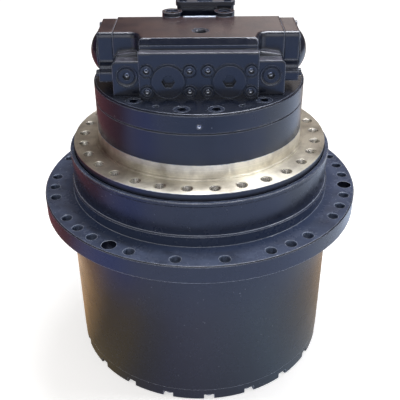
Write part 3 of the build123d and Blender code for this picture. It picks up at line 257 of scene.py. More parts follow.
def rounder_at_the_sides(tree, place, rounded, radius_mm):
    softer = edge_amount(tree, radius_mm)[1]
    apart = add_node(tree, "ShaderNodeSeparateXYZ", {"Vector": place})
    outward = add_node(tree, "ShaderNodeMath", {0: apart.outputs["X"]}, operation="ABSOLUTE")
    cast = add_node(tree, "ShaderNodeMapRange", {"Value": outward.outputs["Value"],
                                                 "From Min": PAD_HALF_WIDTH_MM * MM,
                                                 "From Max": (PAD_HALF_WIDTH_MM + 3.0) * MM})
    return add_node(tree, "ShaderNodeMix", {"Factor": cast.outputs["Result"], VECTOR_A: rounded,
                                            VECTOR_B: softer}, data_type="VECTOR").outputs[VECTOR_OUT]


# %% [markdown]
# The film isn't a mirror. Sprayed paint dries with orange peel, waves about 1.5 mm across and a few hundredths
# of a millimetre high, and on the castings the grain of the sand shows through it as well. Rub marks from straps
# and gloves make the gloss uneven.

# %% Orange peel, sand grain and rub marks
def film_normal(tree, place, rounded, peel_mm, depth_mm, grain_mm=None):
    peel = add_node(tree, "ShaderNodeTexNoise", {"Vector": place, "Scale": per_metre(peel_mm), "Detail": 2.0})
    height = peel.outputs["Fac"]
    if grain_mm:
        sand = add_node(tree, "ShaderNodeTexNoise", {"Vector": place, "Scale": per_metre(grain_mm), "Detail": 4.0,
                                                      "Roughness": 0.65})
        height = add_node(tree, "ShaderNodeMath", {0: sand.outputs["Fac"], 1: 1.6, 2: height},
                          operation="MULTIPLY_ADD").outputs["Value"]
    bump = add_node(tree, "ShaderNodeBump", {"Height": height, "Distance": depth_mm * MM, "Strength": 0.5,
                                             "Normal": rounded})
    return bump.outputs["Normal"]


def rubbed_gloss(tree, place, roughness):
    rubbed = add_node(tree, "ShaderNodeTexNoise", {"Vector": place, "Scale": per_metre(35), "Detail": 6.0,
                                                    "Roughness": 0.7})
    gloss = add_node(tree, "ShaderNodeMapRange", {"Value": rubbed.outputs["Fac"], "From Min": 0.3,
                                                  "From Max": 0.7, "To Min": roughness - 0.05,
                                                  "To Max": roughness + 0.07})
    return gloss.outputs["Result"]


# %% [markdown]
# Now the layers go together in the order in which they lie on the iron: paint, dust with a painted sheen,
# the painted reflection in the step, pale edges that are thin paint and a painted highlight, and specks give
# the colour, and the rub marks and the film's relief give the gloss. The sheen is that of a clear alkyd resin,
# with an index of refraction of 1.5.

# %% Enamel on iron
def enamel(name, roughness, peel_mm, depth_mm, wear_and_highlight="#c3cbdb", edge_mm=1.6, dust_and_sheen="#525c74", dust_and_sheen_amount=0.85,
           top_painted_reflection=None, step_reflection=None, specks=True, grain_mm=None, cast_edge_mm=None):
    material, tree, place = new_material(name)
    edges, rounded = edge_amount(tree, edge_mm)
    if cast_edge_mm:
        rounded = rounder_at_the_sides(tree, place, rounded, cast_edge_mm)
    # The film on upward faces is dust and a painted sheen.
    colour = dust_and_sheen_on_top(tree, place, black_paint(tree, place, 0.6), dust_and_sheen, dust_and_sheen_amount, top_painted_reflection)
    # The step gets a bluish painted reflection.
    if step_reflection:
        colour = painted_reflection_in_the_step(tree, place, colour, step_reflection)
    # The pale edge colour is thinner paint and a painted highlight.
    colour = add_node(tree, "ShaderNodeMix", {"Factor": edges, COLOUR_A: colour, COLOUR_B: linear(wear_and_highlight)},
                      data_type="RGBA").outputs[COLOUR_OUT]
    if specks:
        colour = specks_in_the_film(tree, place, colour)
    paint = add_node(tree, "ShaderNodeBsdfPrincipled", {
        "Base Color": colour, "Roughness": rubbed_gloss(tree, place, roughness), "IOR": 1.5,
        "Specular IOR Level": 0.5, "Normal": film_normal(tree, place, rounded, peel_mm, depth_mm, grain_mm)})
    finish_material(tree, paint.outputs["BSDF"])
    return material


# %% [markdown]
# The same enamel looks different on each ground. On the turned housing it lies smooth and shows long soft
# reflections. On the milled cover plate it is cleaner. On the sand-cast valve block it is glossier but grainy.
# On the bolts it is thin and smooth, and in the beads round them it is thick and the glossiest.

# %% The drive's enamels
# On each enamel the upward film is dust and painted sheen and the edge colour is worn paint and painted highlight.
# The step colour on the turned iron and the brown on the block's top are painted reflections.
turned_enamel = enamel("black_enamel_on_turned_iron", 0.25, 1.6, 0.03, step_reflection="#38445f")
plate_enamel = enamel("black_enamel_on_milled_plate", 0.24, 1.6, 0.03, wear_and_highlight="#8b94a6", edge_mm=2.6,
                      dust_and_sheen="#2c3444", dust_and_sheen_amount=0.3)
cast_enamel = enamel("black_enamel_on_sand_cast_iron", 0.18, 2.2, 0.2, wear_and_highlight="#9aa3b5", dust_and_sheen="#767580",
                     dust_and_sheen_amount=0.8, top_painted_reflection="#594643", specks=False, grain_mm=3.0, cast_edge_mm=5.0)
bolt_enamel = enamel("black_enamel_on_bolts", 0.22, 1.2, 0.02, wear_and_highlight="#5d6679", dust_and_sheen_amount=0.4, specks=False)
bead_enamel = enamel("black_enamel_beads", 0.16, 2.5, 0.05, wear_and_highlight="#46536d", dust_and_sheen_amount=0.0, specks=False)
print(len(bpy.data.materials), "enamels")

# %% [markdown]
# The frame-mounting flange and the pilot above it are left bare, because paint between two bolted faces lets
# the joint work loose. They are part of one casting with the painted motor case. The masking ended at the top
# of the pilot and at the flange's rim, and the paint line wanders by a millimetre or so.

# %% Where the spindle is bare
PILOT_TOP_MM, RIM_PAINT_TOP_MM, NEAR_RIM_MM = 27.0, -0.3, 225.0
PAINT_FADE_MM, PAINT_WANDER_MM = 0.3, 1.6


def bare_amount(tree, place, height, away):
    """1 on bare iron and 0 under the paint."""
    ragged = add_node(tree, "ShaderNodeTexNoise", {"Vector": place, "Scale": per_metre(6), "Detail": 3.0})
    wander = add_node(tree, "ShaderNodeMath", {0: ragged.outputs["Fac"], 1: PAINT_WANDER_MM * MM, 2: height},
                      operation="MULTIPLY_ADD").outputs["Value"]
    below_the_case = add_node(tree, "ShaderNodeMapRange", {"Value": wander, "From Min": PILOT_TOP_MM * MM,
                                                           "From Max": (PILOT_TOP_MM - PAINT_FADE_MM) * MM})
    rim = add_node(tree, "ShaderNodeMapRange", {"Value": away, "From Min": NEAR_RIM_MM * MM,
                                                "From Max": (NEAR_RIM_MM + 0.5) * MM})
    below_the_face = add_node(tree, "ShaderNodeMapRange", {"Value": wander, "From Min": RIM_PAINT_TOP_MM * MM,
                                                           "From Max": (RIM_PAINT_TOP_MM - PAINT_FADE_MM) * MM})
    painted = add_node(tree, "ShaderNodeMath", {0: rim.outputs["Result"], 1: below_the_face.outputs["Result"]},
                       operation="MULTIPLY")
    return add_node(tree, "ShaderNodeMapRange", {"Value": painted.outputs["Value"],
                                                 "To Min": below_the_case.outputs["Result"],
                                                 "To Max": 0.0}).outputs["Result"]


# %% [markdown]
# The bare iron was faced on a lathe and has yellowed a little under its rust oil. Its scratches run in rings, so
# the noise that darkens and roughens it reads only the distance from the axis and the height.

# %% Iron faced on a lathe
def ring_marks(tree, height, away):
    ring_place = add_node(tree, "ShaderNodeCombineXYZ", {"X": away, "Y": height})
    return add_node(tree, "ShaderNodeTexNoise", {"Vector": ring_place.outputs["Vector"], "Scale": per_metre(1.6),
                                                  "Detail": 5.0, "Roughness": 0.7}).outputs["Fac"]


def faced_iron_colour(tree, place, rings):
    stain = add_node(tree, "ShaderNodeTexNoise", {"Vector": place, "Scale": per_metre(70), "Detail": 6.0,
                                                   "Roughness": 0.62})
    iron = add_node(tree, "ShaderNodeValToRGB", {"Fac": stain.outputs["Fac"]})
    stained, clean = iron.color_ramp.elements
    stained.position, stained.color = 0.34, linear("#a79f90")
    clean.position, clean.color = 0.62, linear("#ede7d6")
    scored = add_node(tree, "ShaderNodeMapRange", {"Value": rings, "From Min": 0.3, "From Max": 0.7,
                                                   "To Min": 0.78, "To Max": 1.08})
    return add_node(tree, "ShaderNodeVectorMath", {0: iron.outputs["Color"], "Scale": scored.outputs["Result"]},
                    operation="SCALE").outputs["Vector"]


# %% [markdown]
# Scratches in rings spread a reflection across themselves, which gives a lathe-turned face its bow tie of
# light. The shader's anisotropy does that, turned by a quarter so that the light runs out from the axis.

# %% Bare machined iron beside enamel, on one casting
def spindle_finish():
    material, tree, place = new_material("faced_iron_and_black_enamel")
    edges, rounded = edge_amount(tree, 1.4)
    height = add_node(tree, "ShaderNodeSeparateXYZ", {"Vector": place}).outputs["Z"]
    away = from_the_axis(tree, place)
    bare = bare_amount(tree, place, height, away)
    rings = ring_marks(tree, height, away)
    # The pale colour on the painted edges is thinner paint and a painted highlight.
    worn_and_highlit = add_node(tree, "ShaderNodeMix", {"Factor": edges, COLOUR_A: black_paint(tree, place, 0.5),
                                            COLOUR_B: linear("#c3cbdb")}, data_type="RGBA")
    colour = add_node(tree, "ShaderNodeMix", {"Factor": bare, COLOUR_A: worn_and_highlit.outputs[COLOUR_OUT],
                                              COLOUR_B: faced_iron_colour(tree, place, rings)}, data_type="RGBA")
    dull = add_node(tree, "ShaderNodeMapRange", {"Value": rings, "From Min": 0.3, "From Max": 0.7,
                                                 "To Min": 0.36, "To Max": 0.5})
    rough = add_node(tree, "ShaderNodeMix", {"Factor": bare, FLOAT_A: 0.26, FLOAT_B: dull.outputs["Result"]},
                     data_type="FLOAT")
    bump = add_node(tree, "ShaderNodeBump", {"Height": rings, "Distance": 0.02 * MM, "Strength": 0.4,
                                             "Normal": rounded})
    shader = add_node(tree, "ShaderNodeBsdfPrincipled", {
        "Base Color": colour.outputs[COLOUR_OUT], "Metallic": bare, "Roughness": rough.outputs[FLOAT_OUT],
        "Specular IOR Level": 0.5, "Anisotropic": 0.68, "Anisotropic Rotation": 0.25,
        "Normal": bump.outputs["Normal"]})
    finish_material(tree, shader.outputs["BSDF"])
    return material


spindle_iron = spindle_finish()
print(spindle_iron.name, "has", len(spindle_iron.node_tree.nodes), "nodes")

# %% [markdown]
# The pieces inside the housing are plain metals. They share one recipe: a metal whose tool marks are noise
# stretched along one direction, with its own two tones, roughness and mark width, and the lighter tone on its
# edges. Two of them aren't metal but are made the same way: the rubber, and the brake lining, a sintered mix of
# copper and grit.

# %% Plain metals
def inner_metal(name, dark, light, roughness, mark_mm, metallic=1.0):
    material, tree, place = new_material(name)
    edges, rounded = edge_amount(tree, 0.6)
    stretched = add_node(tree, "ShaderNodeMapping", {"Vector": place, "Scale": (1.0, 1.0, 0.06)})
    marks = add_node(tree, "ShaderNodeTexNoise", {"Vector": stretched.outputs["Vector"],
                                                   "Scale": per_metre(mark_mm), "Detail": 4.0}).outputs["Fac"]
    tone = add_node(tree, "ShaderNodeMix", {"Factor": marks, COLOUR_A: linear(dark), COLOUR_B: linear(light)},
                    data_type="RGBA")
    bright = add_node(tree, "ShaderNodeMix", {"Factor": edges, COLOUR_A: tone.outputs[COLOUR_OUT],
                                              COLOUR_B: linear(light)}, data_type="RGBA")
    rough = add_node(tree, "ShaderNodeMapRange", {"Value": marks, "From Min": 0.3, "From Max": 0.7,
                                                  "To Min": roughness - 0.06, "To Max": roughness + 0.06})
    bump = add_node(tree, "ShaderNodeBump", {"Height": marks, "Distance": 0.01 * MM, "Strength": 0.3,
                                             "Normal": rounded})
    shader = add_node(tree, "ShaderNodeBsdfPrincipled", {
        "Base Color": bright.outputs[COLOUR_OUT], "Metallic": metallic, "Roughness": rough.outputs["Result"],
        "Normal": bump.outputs["Normal"]})
    finish_material(tree, shader.outputs["BSDF"])
    return material


# %% [markdown]
# Ground steel is bright and nearly a mirror, gear steel is greyer from its hardening, and machined iron is dark
# and matt because of the graphite in it. Oil-tempered springs are almost black, zinc plating is pale and soft,
# and bronze is the only warm one.

# %% The finish of each slot in the record
finishes = {
    "black_painted_casting": cast_enamel,
    "black_painted_steel": bolt_enamel,
    "zinc_steel": inner_metal("zinc_plated_steel", "#8f8f8c", "#c2c1bb", 0.42, 1.5),
    "bearing_steel": inner_metal("ground_bearing_steel", "#b3b3b2", "#dcdcda", 0.2, 0.8),
    "case_hardened_steel": inner_metal("case_hardened_gear_steel", "#8e8d8b", "#bdbcb9", 0.32, 1.0),
    "carrier_iron": inner_metal("machined_nodular_iron", "#6f6f70", "#97979a", 0.48, 1.8),
    "spring_steel": inner_metal("oil_tempered_spring_steel", "#55555a", "#7f8085", 0.34, 0.7),
    "bronze": inner_metal("machined_tin_bronze", "#a97c3f", "#d2a563", 0.34, 1.2),
    "seal_iron": inner_metal("lapped_chilled_iron", "#8a8a8c", "#b4b4b6", 0.24, 0.6),
    "seal_rubber": inner_metal("moulded_nitrile_rubber", "#141415", "#1e1e20", 0.62, 3.0, metallic=0.0),
    "friction_lining": inner_metal("sintered_brake_lining", "#4a3a2a", "#6b5743", 0.7, 0.9, metallic=0.3),
}
print(len(finishes), "finishes")

# %% [markdown]
# Each solid takes the finish that the record gives it. The turned outer pieces get the smoother enamel, and
# the spindle gets its own material because part of it is bare.

# %% Put the finishes on
def paint_node(name, material):
    slots = nodes[name].data.materials
    slots.clear()
    slots.append(material)


slot_of = {part["node"]: part["material_slot"] for part in frame["record"]["subparts"]}
for name in nodes:
    paint_node(name, finishes[slot_of[name]])
for name in ("gear_housing", "gear_cover"):
    paint_node(name, turned_enamel)
paint_node("motor_cover_plate", plate_enamel)
paint_node("spindle", spindle_iron)
print(len(nodes), "nodes painted")

# %% [markdown]
# All but one of the new pieces are round, so one helper makes them: a closed outline, given by its radii and
# heights, is spun round an axis. Another helper merges the seam, turns the faces outwards, and makes the object
# ride on the body that carries it.

# %% Spun pieces
def add_spun(shape, outline, centre, steps, axis=(0, 0, 1)):
    """Spins a closed (radius, height) outline, in mm, into a bmesh, round an axis through a centre in mm."""
    centre, axis = Vector(centre) * MM, Vector(axis)
    corners = [shape.verts.new(centre + Vector((radius, 0, 0)) * MM + axis * height * MM)
               for radius, height in outline]
    edges = [shape.edges.new((corners[i], corners[(i + 1) % len(corners)])) for i in range(len(corners))]
    bmesh.ops.spin(shape, geom=corners + edges, cent=centre, axis=axis, angle=math.tau, steps=steps,
                   use_merge=True)


def new_piece(name, shape, material, body):
    """Turns a bmesh into an object with the given finish, which rides on a body."""
    bmesh.ops.remove_doubles(shape, verts=shape.verts, dist=1e-6)
    bmesh.ops.recalc_face_normals(shape, faces=shape.faces)
    mesh = bpy.data.meshes.new(name)
    shape.to_mesh(mesh)
    shape.free()
    mesh.materials.append(material)
    piece = bpy.data.objects.new(name, mesh)
    bpy.context.scene.collection.objects.link(piece)
    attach(piece, body)
    print(name, "has", len(mesh.polygons), "faces")


# %% [markdown]
# The solids have plain holes at the thread's outer size. The threads themselves are made here: one closed
# outline with a tooth for each turn is spun round each hole. They are rings and not a helix, which at this
# size looks the same. A metric thread is 0.54 of its pitch deep.

# %% Threads
def thread_outline(major_r, pitch, top, bottom):
    """The (radius, height) outline of a threaded liner, from its top round to its outer wall."""
    root, crest = major_r - 0.05, major_r - 0.54 * pitch
    points = [(root, top)]
    height = top
    while height - pitch > bottom:
        points += [(crest, height - 0.45 * pitch), (crest, height - 0.55 * pitch), (root, height - pitch)]
        height -= pitch
    return points + [(major_r - 0.01, height - 0.3), (major_r - 0.01, top)]


def threads(name, centres, top, bottom, material, body, major_r=10.0, pitch=2.5):
    """M20 threads, unless another radius and pitch are given, in all the holes at the centres."""
    shape = bmesh.new()
    outline = thread_outline(major_r, pitch, top, bottom)
    for x, y in centres:
        add_spun(shape, outline, (x, y, 0), 28)
    new_piece(name, shape, material, body)


def round_the_axis(radius, angle):
    """A point in mm on a circle round the drive, with the angle counted from the front towards +X."""
    return radius * math.sin(math.radians(angle)), -radius * math.cos(math.radians(angle))


# %% [markdown]
# The frame flange has thirty holes at even steps. The sprocket flange is laid out on 44 steps, of which some
# have no hole and three have a plain hole that the drive is lifted by. The threads in the bare flange are
# freshly cut and bright. Those in the painted one are dark with oil and overspray. The threads in the port on
# top are near black, as painted shade in the bore.

# %% Threads in the tapped holes
FRAME_CIRCLE_MM, FRAME_HOLES, FIRST_FRAME_HOLE_DEG = 217.5, 30, 6.6
SPROCKET_CIRCLE_MM, SPROCKET_STEPS = 281.5, 44
LIFTING_STEPS, EMPTY_STEPS = (10, 25, 40), (0, 2, 6, 14, 18, 22, 28, 32, 36, 42)
TOP_PORT_PLACE = (3.4, -62.0)

cut_steel = inner_metal("fresh_cut_thread", "#a29d93", "#e6e1d6", 0.26, 0.8)
oiled_steel = inner_metal("oiled_thread_beside_paint", "#2a3346", "#5f6c84", 0.3, 0.8, metallic=0.4)
# Near-black threads in the top port: painted shade in the bore.
shaded_port_steel = inner_metal("port_thread_in_painted_shade", "#0e121a", "#262c38", 0.4, 0.8, metallic=0.2)
frame_holes = [round_the_axis(FRAME_CIRCLE_MM, FIRST_FRAME_HOLE_DEG + 360.0 / FRAME_HOLES * i)
               for i in range(FRAME_HOLES)]
sprocket_holes = [round_the_axis(SPROCKET_CIRCLE_MM, 360.0 / SPROCKET_STEPS * step)
                  for step in range(SPROCKET_STEPS) if step not in LIFTING_STEPS + EMPTY_STEPS]
threads("frame_flange_threads", frame_holes, -1.6, -34.0, cut_steel, "frame_side")
threads("sprocket_flange_threads", sprocket_holes, -96.5, -128.0, oiled_steel, "hub")
threads("top_port_threads", [TOP_PORT_PLACE], 208.5, 190.0, shaded_port_steel, "frame_side", major_r=10.5, pitch=1.5)

# %% [markdown]
# Sprayed enamel pulls up into a small bead round every plug and screw that was in place when the block was
# painted, and it fills the gap round them. Each bead is a half-round ring that lies on the machined face.

# %% Paint beads on the front of the valve block
TO_FRONT = (0, -1, 0)
PAD_FACE, SHOULDER_FACE = -125.0, -108.0
PORT_X, PORT_Z = 49.7, 147.2
screw_places = [(side * PORT_X + across, PORT_Z + up) for side in (-1, 1) for across in (-34.9, 34.9)
                for up in (-17.9, 17.9)]
plug_places = [(-119.0, 149.7), (119.0, 149.7)]


def half_round(radius, width, height):
    """The outline of a bead that lies on a flat face."""
    steps = [math.radians(angle) for angle in range(0, 181, 30)]
    return [(radius - width / 2 * math.cos(turn), 0.03 + height * math.sin(turn)) for turn in steps]


def paint_fill(inner, outer, depth):
    """The hollow outline of paint that has run into the gap round a plug."""
    return [(inner, -depth), ((inner + outer) / 2, -depth - 0.5), (outer, -depth + 0.2), (outer, -depth - 2.0),
            (inner, -depth - 2.0)]


beads = bmesh.new()
for x in (-PORT_X, PORT_X):
    add_spun(beads, half_round(29.6, 2.0, 0.9), (x, PAD_FACE, PORT_Z), 48, TO_FRONT)
    add_spun(beads, paint_fill(26.55, 28.45, 0.5), (x, PAD_FACE, PORT_Z), 48, TO_FRONT)
for x, z in screw_places:
    add_spun(beads, half_round(11.6, 1.8, 0.8), (x, PAD_FACE, z), 32, TO_FRONT)
    add_spun(beads, paint_fill(9.05, 10.45, 0.8), (x, PAD_FACE, z), 32, TO_FRONT)
for x, z in plug_places:
    add_spun(beads, half_round(18.0, 1.8, 0.8), (x, SHOULDER_FACE, z), 32, TO_FRONT)
new_piece("paint_beads", beads, bead_enamel, "frame_side")

# %% [markdown]
# The bottom of each hexagon socket still shows the cone that the drill left before the socket was broached. The
# steel is bare there, so the cone glints.

# %% Drilled sockets
SCREW_SOCKET_FLOOR, PLUG_SOCKET_FLOOR = -121.4, -98.5
SIDE_PLUG_SOCKET = (0, -187.35, 95.5)


def drill_cone(radius, depth):
    """The outline of the sloping ring that a drill leaves round the bottom of a socket."""
    return [(0.3 * radius, 0.03), (radius, depth), (radius, 0.03)]


cones = bmesh.new()
for x, z in screw_places:
    add_spun(cones, drill_cone(3.0, 1.6), (x, SCREW_SOCKET_FLOOR, z), 24, TO_FRONT)
for x, z in plug_places:
    add_spun(cones, drill_cone(3.4, 1.8), (x, PLUG_SOCKET_FLOOR, z), 24, TO_FRONT)
add_spun(cones, drill_cone(2.7, 1.2), SIDE_PLUG_SOCKET, 24, TO_FRONT)
socket_steel = inner_metal("drill_point_steel", "#9b9fa8", "#d5d8de", 0.2, 1.5)
new_piece("drilled_sockets", cones, socket_steel, "frame_side")

# %% [markdown]
# Between the two round bosses at the back, the block's top ends in an edge that shows as one bright line. A box
# with bevelled edges lies along it, in a pale metal whose colour is a painted highlight.

# %% Painted highlight on the edge between the bosses
def rounded_strip(name, low, high, round_mm, material, body):
    """A box between two corners in mm, with all its edges rounded."""
    low, high = Vector(low) * MM, Vector(high) * MM
    shape = bmesh.new()
    bmesh.ops.create_cube(shape, size=1.0)
    bmesh.ops.scale(shape, vec=high - low, verts=shape.verts)
    bmesh.ops.translate(shape, vec=(low + high) / 2, verts=shape.verts)
    bmesh.ops.bevel(shape, geom=shape.edges[:], offset=round_mm * MM, segments=3, profile=0.5, affect="EDGES",
                    material=-1)
    new_piece(name, shape, material, body)


# The strip's pale colour is a painted highlight.
highlight_strip_steel = inner_metal("pale_highlight_strip_metal", "#8f97a3", "#cdd3dc", 0.3, 1.2, metallic=0.6)
rounded_strip("highlight_strip", (-27.0, 20.8, 211.0), (31.0, 24.4, 213.2), 1.0, highlight_strip_steel, "frame_side")

# %% [markdown]
# The floor is a plain white sheet. A little of its own light, which only the camera, reflections and glass
# see, brings it up to white without lighting the drive any harder, and the drive's shadow still falls on it.

# %% Floor
def flat_sheet(name, low, high, height, material):
    """A level sheet between two (x, y) corners in metres, which isn't part of the object."""
    mesh = bpy.data.meshes.new(name)
    shape = bmesh.new()
    corners = [(low[0], low[1]), (high[0], low[1]), (high[0], high[1]), (low[0], high[1])]
    shape.faces.new([shape.verts.new((x, y, height)) for x, y in corners])
    shape.to_mesh(mesh)
    shape.free()
    sheet = bpy.data.objects.new(name, mesh)
    bpy.context.scene.collection.objects.link(sheet)
    mesh.materials.append(material)
    return sheet


def seen_by_eye(tree):
    """1 for rays that come from the camera, a reflection or glass, and 0 for rays that only carry light."""
    path = add_node(tree, "ShaderNodeLightPath")
    seen = add_node(tree, "ShaderNodeMath", {0: path.outputs["Is Camera Ray"], 1: path.outputs["Is Glossy Ray"]},
                    operation="MAXIMUM")
    return add_node(tree, "ShaderNodeMath", {0: seen.outputs["Value"], 1: path.outputs["Is Transmission Ray"]},
                    operation="MAXIMUM").outputs["Value"]


def white_card(glow):
    material, tree, place = new_material("matt_white_card")
    grain = add_node(tree, "ShaderNodeTexNoise", {"Vector": place, "Scale": per_metre(400)})
    tone = add_node(tree, "ShaderNodeMix", {"Factor": grain.outputs["Fac"], COLOUR_A: linear("#eceae7"),
                                            COLOUR_B: linear("#f2f0ee")}, data_type="RGBA")
    lift = add_node(tree, "ShaderNodeMath", {0: seen_by_eye(tree), 1: glow}, operation="MULTIPLY")
    card = add_node(tree, "ShaderNodeBsdfPrincipled", {
        "Base Color": tone.outputs[COLOUR_OUT], "Roughness": 0.9, "Specular IOR Level": 0.0,
        "Emission Color": linear("#ffffff"), "Emission Strength": lift.outputs["Value"]})
    finish_material(tree, card.outputs["BSDF"])
    return material


FLOOR_REACH = 6.0
floor_z = cad_box[0].z - 0.5 * MM
flat_sheet("floor", (-FLOOR_REACH, -FLOOR_REACH), (FLOOR_REACH, FLOOR_REACH), floor_z, white_card(0.56))
print("the floor lies at", round(floor_z / MM, 1), "mm")

# %% [markdown]
# Glossy black paint shows what stands round it. In the photograph that is a dim workshop: a pale bluish floor in
# front, timber at both sides, a dark red wall at the left, a dark ceiling, and a window and a lamp overhead.
# Cards stand in for it, so that the enamel has the same things to mirror. Only reflections see the cards: they
# hide nothing, cast no shadow and light nothing.

# %% Cards of one tone
def glowing(tree, colour, strength):
    glow = add_node(tree, "ShaderNodeEmission", {"Color": colour, "Strength": strength})
    finish_material(tree, glow.outputs["Emission"])


def tinted_card(name, colour, strength=1.0):
    """A card of one tone that at strength 1 looks in a reflection as its colour is written.

    Noise, which is 0.5 on average, makes it a little uneven, so the glow is twice the strength."""
    material, tree, place = new_material(name)
    uneven = add_node(tree, "ShaderNodeTexNoise", {"Vector": place, "Scale": per_metre(300)})
    tone = add_node(tree, "ShaderNodeVectorMath", {0: linear(colour)[:3], "Scale": uneven.outputs["Fac"]},
                    operation="SCALE")
    glowing(tree, tone.outputs["Vector"], 2.0 * strength)
    return material


# %% [markdown]
# The top of the valve block is level and mirrors the wall behind the drive, umber at its left and pale at its
# right. So that wall gets a gradient across its width.

# %% The wall behind the drive
UMBER_ENDS, PALE_STARTS = -0.4, 0.55


def back_wall_material():
    material, tree, place = new_material("umber_to_pale_wall")
    apart = add_node(tree, "ShaderNodeSeparateXYZ", {"Vector": place})
    along = add_node(tree, "ShaderNodeMapRange", {"Value": apart.outputs["X"], "From Min": UMBER_ENDS,
                                                  "From Max": PALE_STARTS})
    tone = add_node(tree, "ShaderNodeMix", {"Factor": along.outputs["Result"], COLOUR_A: linear("#5c5048"),
                                            COLOUR_B: linear("#f4ebe6")}, data_type="RGBA")
    glowing(tree, tone.outputs[COLOUR_OUT], 1.0)
    return material


# %% [markdown]
# The upright walls of the drive mirror the floor: the barrel shows the floor close by, and the neck and the
# motor case show it further out. A point at the side of a round wall mirrors the floor at that side. So the
# floor's tone goes by the direction from the drive, with one set of tones near it and another far from it. In a
# radial gradient 0 is the left, 0.25 the front, 0.5 the right and 0.75 the back.

# %% The floor round the drive
NEAR_TONES = [(0.0, "#dcb283"), (0.067, "#9a8768"), (0.125, "#b5a37f"), (0.165, "#a9a4a4"), (0.2, "#b4b4cc"),
              (0.25, "#c6cae6"), (0.36, "#c8dcf2"), (0.44, "#bcbcbc"), (0.50, "#bcab99"), (0.58, "#c2a688"),
              (0.75, "#c2a688"), (0.944, "#efccaa"), (1.0, "#dcb283")]
FAR_TONES = [(0.0, "#734a4e"), (0.05, "#9496cc"), (0.1, "#8898ea"), (0.16, "#b4c0ea"), (0.25, "#bccefb"),
             (0.42, "#bccefb"), (0.47, "#c6d3ea"), (0.6, "#c6d3ea"), (0.66, "#a59a90"), (0.75, "#5f5048"),
             (0.92, "#74454a"), (1.0, "#734a4e")]
NEAR_ENDS, FAR_STARTS = 0.45, 0.62
BARREL_FOOT, OPEN_FLOOR = 0.23, 0.55


def tones_round_the_drive(tree, turn, tones):
    node = add_node(tree, "ShaderNodeValToRGB", {"Fac": turn})
    stops = node.color_ramp.elements
    while len(stops) < len(tones):
        stops.new(0.5)
    for stop, (position, colour) in zip(stops, tones):
        stop.position = position
        stop.color = linear(colour)
    return node.outputs["Color"]


def workshop_floor():
    material, tree, place = new_material("timber_and_concrete_floor")
    turn = add_node(tree, "ShaderNodeTexGradient", {"Vector": place}, gradient_type="RADIAL").outputs["Fac"]
    away = from_the_axis(tree, place)
    outward = add_node(tree, "ShaderNodeMapRange", {"Value": away, "From Min": NEAR_ENDS, "From Max": FAR_STARTS})
    # The floor glows less near the barrel's foot: a painted shadow, so that the barrel's lower part mirrors a
    # darker floor.
    painted_shadow_falloff = add_node(tree, "ShaderNodeMapRange", {"Value": away, "From Min": BARREL_FOOT, "From Max": OPEN_FLOOR,
                                                "To Min": 0.95, "To Max": 1.9})
    tone = add_node(tree, "ShaderNodeMix", {
        "Factor": outward.outputs["Result"], COLOUR_A: tones_round_the_drive(tree, turn, NEAR_TONES),
        COLOUR_B: tones_round_the_drive(tree, turn, FAR_TONES)}, data_type="RGBA")
    glowing(tree, tone.outputs[COLOUR_OUT], painted_shadow_falloff.outputs["Result"])
    return material


# %% [markdown]
# The rest of the room: the upper rims mirror the window and the lamp strip overhead, the sloping nose of the
# block mirrors the dark ceiling in front, and the steel pilot mirrors the bright wall that the flange's top
# sends back to it.

# %% Put the cards up
def upright_sheet(name, low, high, distance, material, turn=0):
    """A sheet that stands behind the drive, given by its low and high (x, z) corners, then turned round Z."""
    sheet = flat_sheet(name, low, high, 0.0, material)
    stand = Matrix.Translation((0, distance, 0)) @ Matrix.Rotation(math.radians(90), 4, "X")
    sheet.data.transform(Matrix.Rotation(math.radians(turn), 4, "Z") @ stand)
    return sheet


card_z = floor_z + 0.2 * MM
umber = tinted_card("umber_card", "#5c5048")
front_wall = tinted_card("pale_window_card", "#f2f5ff", 2.5)
cards = [
    flat_sheet("workshop_floor_card", (-2.6, -1.13), (2.6, 2.4), card_z, workshop_floor()),
    flat_sheet("front_card", (-1.6, -4.0), (1.6, -1.13), card_z, tinted_card("pale_slate_card", "#a8c0f6", 1.5)),
    upright_sheet("front_wall_card", (-2.0, 0.3), (2.0, 4.4), -3.9, front_wall),
    flat_sheet("front_ceiling_card", (-2.6, -1.6), (2.6, -0.15), 2.3, tinted_card("slate_card", "#3c4458")),
    flat_sheet("window_card", (-0.9, -0.15), (1.8, 1.4), 2.31, tinted_card("bright_window_card", "#f2f5ff", 5.5)),
    flat_sheet("lamp_strip", (-0.4, 0.3), (1.9, 0.8), 2.30, tinted_card("lamp_strip_card", "#f4f7ff", 22.0)),
    flat_sheet("back_ceiling_card", (-2.6, -0.15), (2.6, 2.4), 2.32, umber),
    upright_sheet("left_wall_card", (-0.6, -0.4), (2.4, 2.3), 2.6, tinted_card("dark_red_card", "#54303a"), 90),
    upright_sheet("right_wall_card", (-2.4, -0.4), (0.0, 2.3), 2.6, tinted_card("grey_card", "#5f565a"), -90),
    upright_sheet("back_card", (-2.6, -0.4), (0.62, 2.3), 2.4, back_wall_material()),
    upright_sheet("back_right_card", (0.62, -0.4), (2.6, 2.3), 2.4, umber),
    upright_sheet("right_back_window", (-0.35, 0.5), (0.35, 2.2), 2.3,
                  tinted_card("right_window_card", "#f2f5ff", 0.8), -48),
]
for card in cards:
    card.visible_camera = False
    card.visible_diffuse = False
    card.visible_shadow = False
print(len(cards), "cards that only reflections see")

# %% [markdown]
# The camera stands in front of the drive, 1.1 m away and half a metre above the mounting flange, and looks
# down at 31 degrees. Those numbers come from the ellipses that the round edges make in the photograph, which
# also show that it was held a little askew.

# %% Camera
CAMERA_PLACE = (0.0005, -1.1130, 0.5185)
LOOKS_DOWN_DEG, ROLLED_DEG = 31.09, -0.415


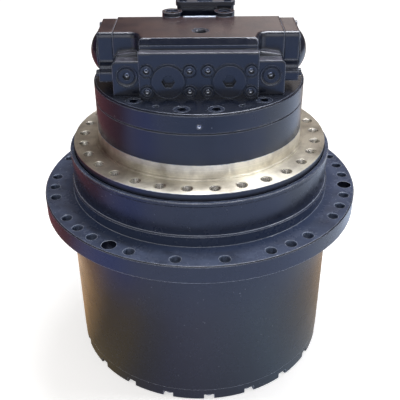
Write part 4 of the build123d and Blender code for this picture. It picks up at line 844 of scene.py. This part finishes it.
def camera_like_photo():
    data = bpy.data.cameras.new("camera")
    data.sensor_width = 36.0
    data.lens = 57.6
    camera = bpy.data.objects.new("camera", data)
    bpy.context.scene.collection.objects.link(camera)
    down, roll = math.radians(LOOKS_DOWN_DEG), math.radians(ROLLED_DEG)
    look = Vector((0, math.cos(down), -math.sin(down)))
    level = Vector((1, 0, 0))
    above = level.cross(look)
    right = level * math.cos(roll) + above * math.sin(roll)
    up = right.cross(look)
    turn = Matrix((right, up, -look)).transposed()
    camera.matrix_world = Matrix.Translation(CAMERA_PLACE) @ turn.to_4x4()
    bpy.context.scene.camera = camera


camera_like_photo()
print("lens", bpy.context.scene.camera.data.lens, "mm")

# %% [markdown]
# The light is soft and plain: an even pale room, a wide lamp overhead and one at each side. The world is white
# where the camera, or a reflection, sees it. The side lamps light the drive, but the paint doesn't mirror them.

# %% World and lamps
def white_room(strength):
    world = bpy.data.worlds.new("white_room")
    world.use_nodes = True
    tree = world.node_tree
    tree.nodes.clear()
    level = add_node(tree, "ShaderNodeMapRange", {"Value": seen_by_eye(tree), "To Min": strength, "To Max": 1.0})
    light = add_node(tree, "ShaderNodeBackground", {"Color": linear("#ffffff"),
                                                    "Strength": level.outputs["Result"]})
    add_node(tree, "ShaderNodeOutputWorld", {"Surface": light.outputs["Background"]})
    bpy.context.scene.world = world


def soft_lamp(name, place, aim, size, watts, colour, mirrored=True):
    """A lamp of a width and depth in metres, aimed at a point."""
    data = bpy.data.lights.new(name, "AREA")
    data.shape = "RECTANGLE"
    data.size, data.size_y = size
    data.energy = watts
    data.color = linear(colour)[:3]
    lamp = bpy.data.objects.new(name, data)
    lamp.location = place
    lamp.rotation_euler = (Vector(aim) - Vector(place)).to_track_quat("-Z", "Y").to_euler()
    lamp.visible_camera = False
    lamp.visible_glossy = mirrored
    bpy.context.scene.collection.objects.link(lamp)


white_room(0.45)
soft_lamp("overhead_lamp", (0.35, 0.35, 2.2), (0, -0.1, 0), (1.6, 0.3), 34, "#f6f8ff")
soft_lamp("left_lamp", (-2.1, -0.3, 1.5), (0, 0, 0), (0.4, 1.2), 7, "#fff1e2", mirrored=False)
soft_lamp("right_lamp", (2.1, -0.4, 1.6), (0, 0, 0), (0.3, 1.4), 16, "#f4f6ff", mirrored=False)
print(len(bpy.data.lights), "lamps")

# %% [markdown]
# Blender's default view softens bright colours as film does. Standard shows each colour as it is written.

# %% Colours as written
bpy.context.scene.view_settings.view_transform = "Standard"
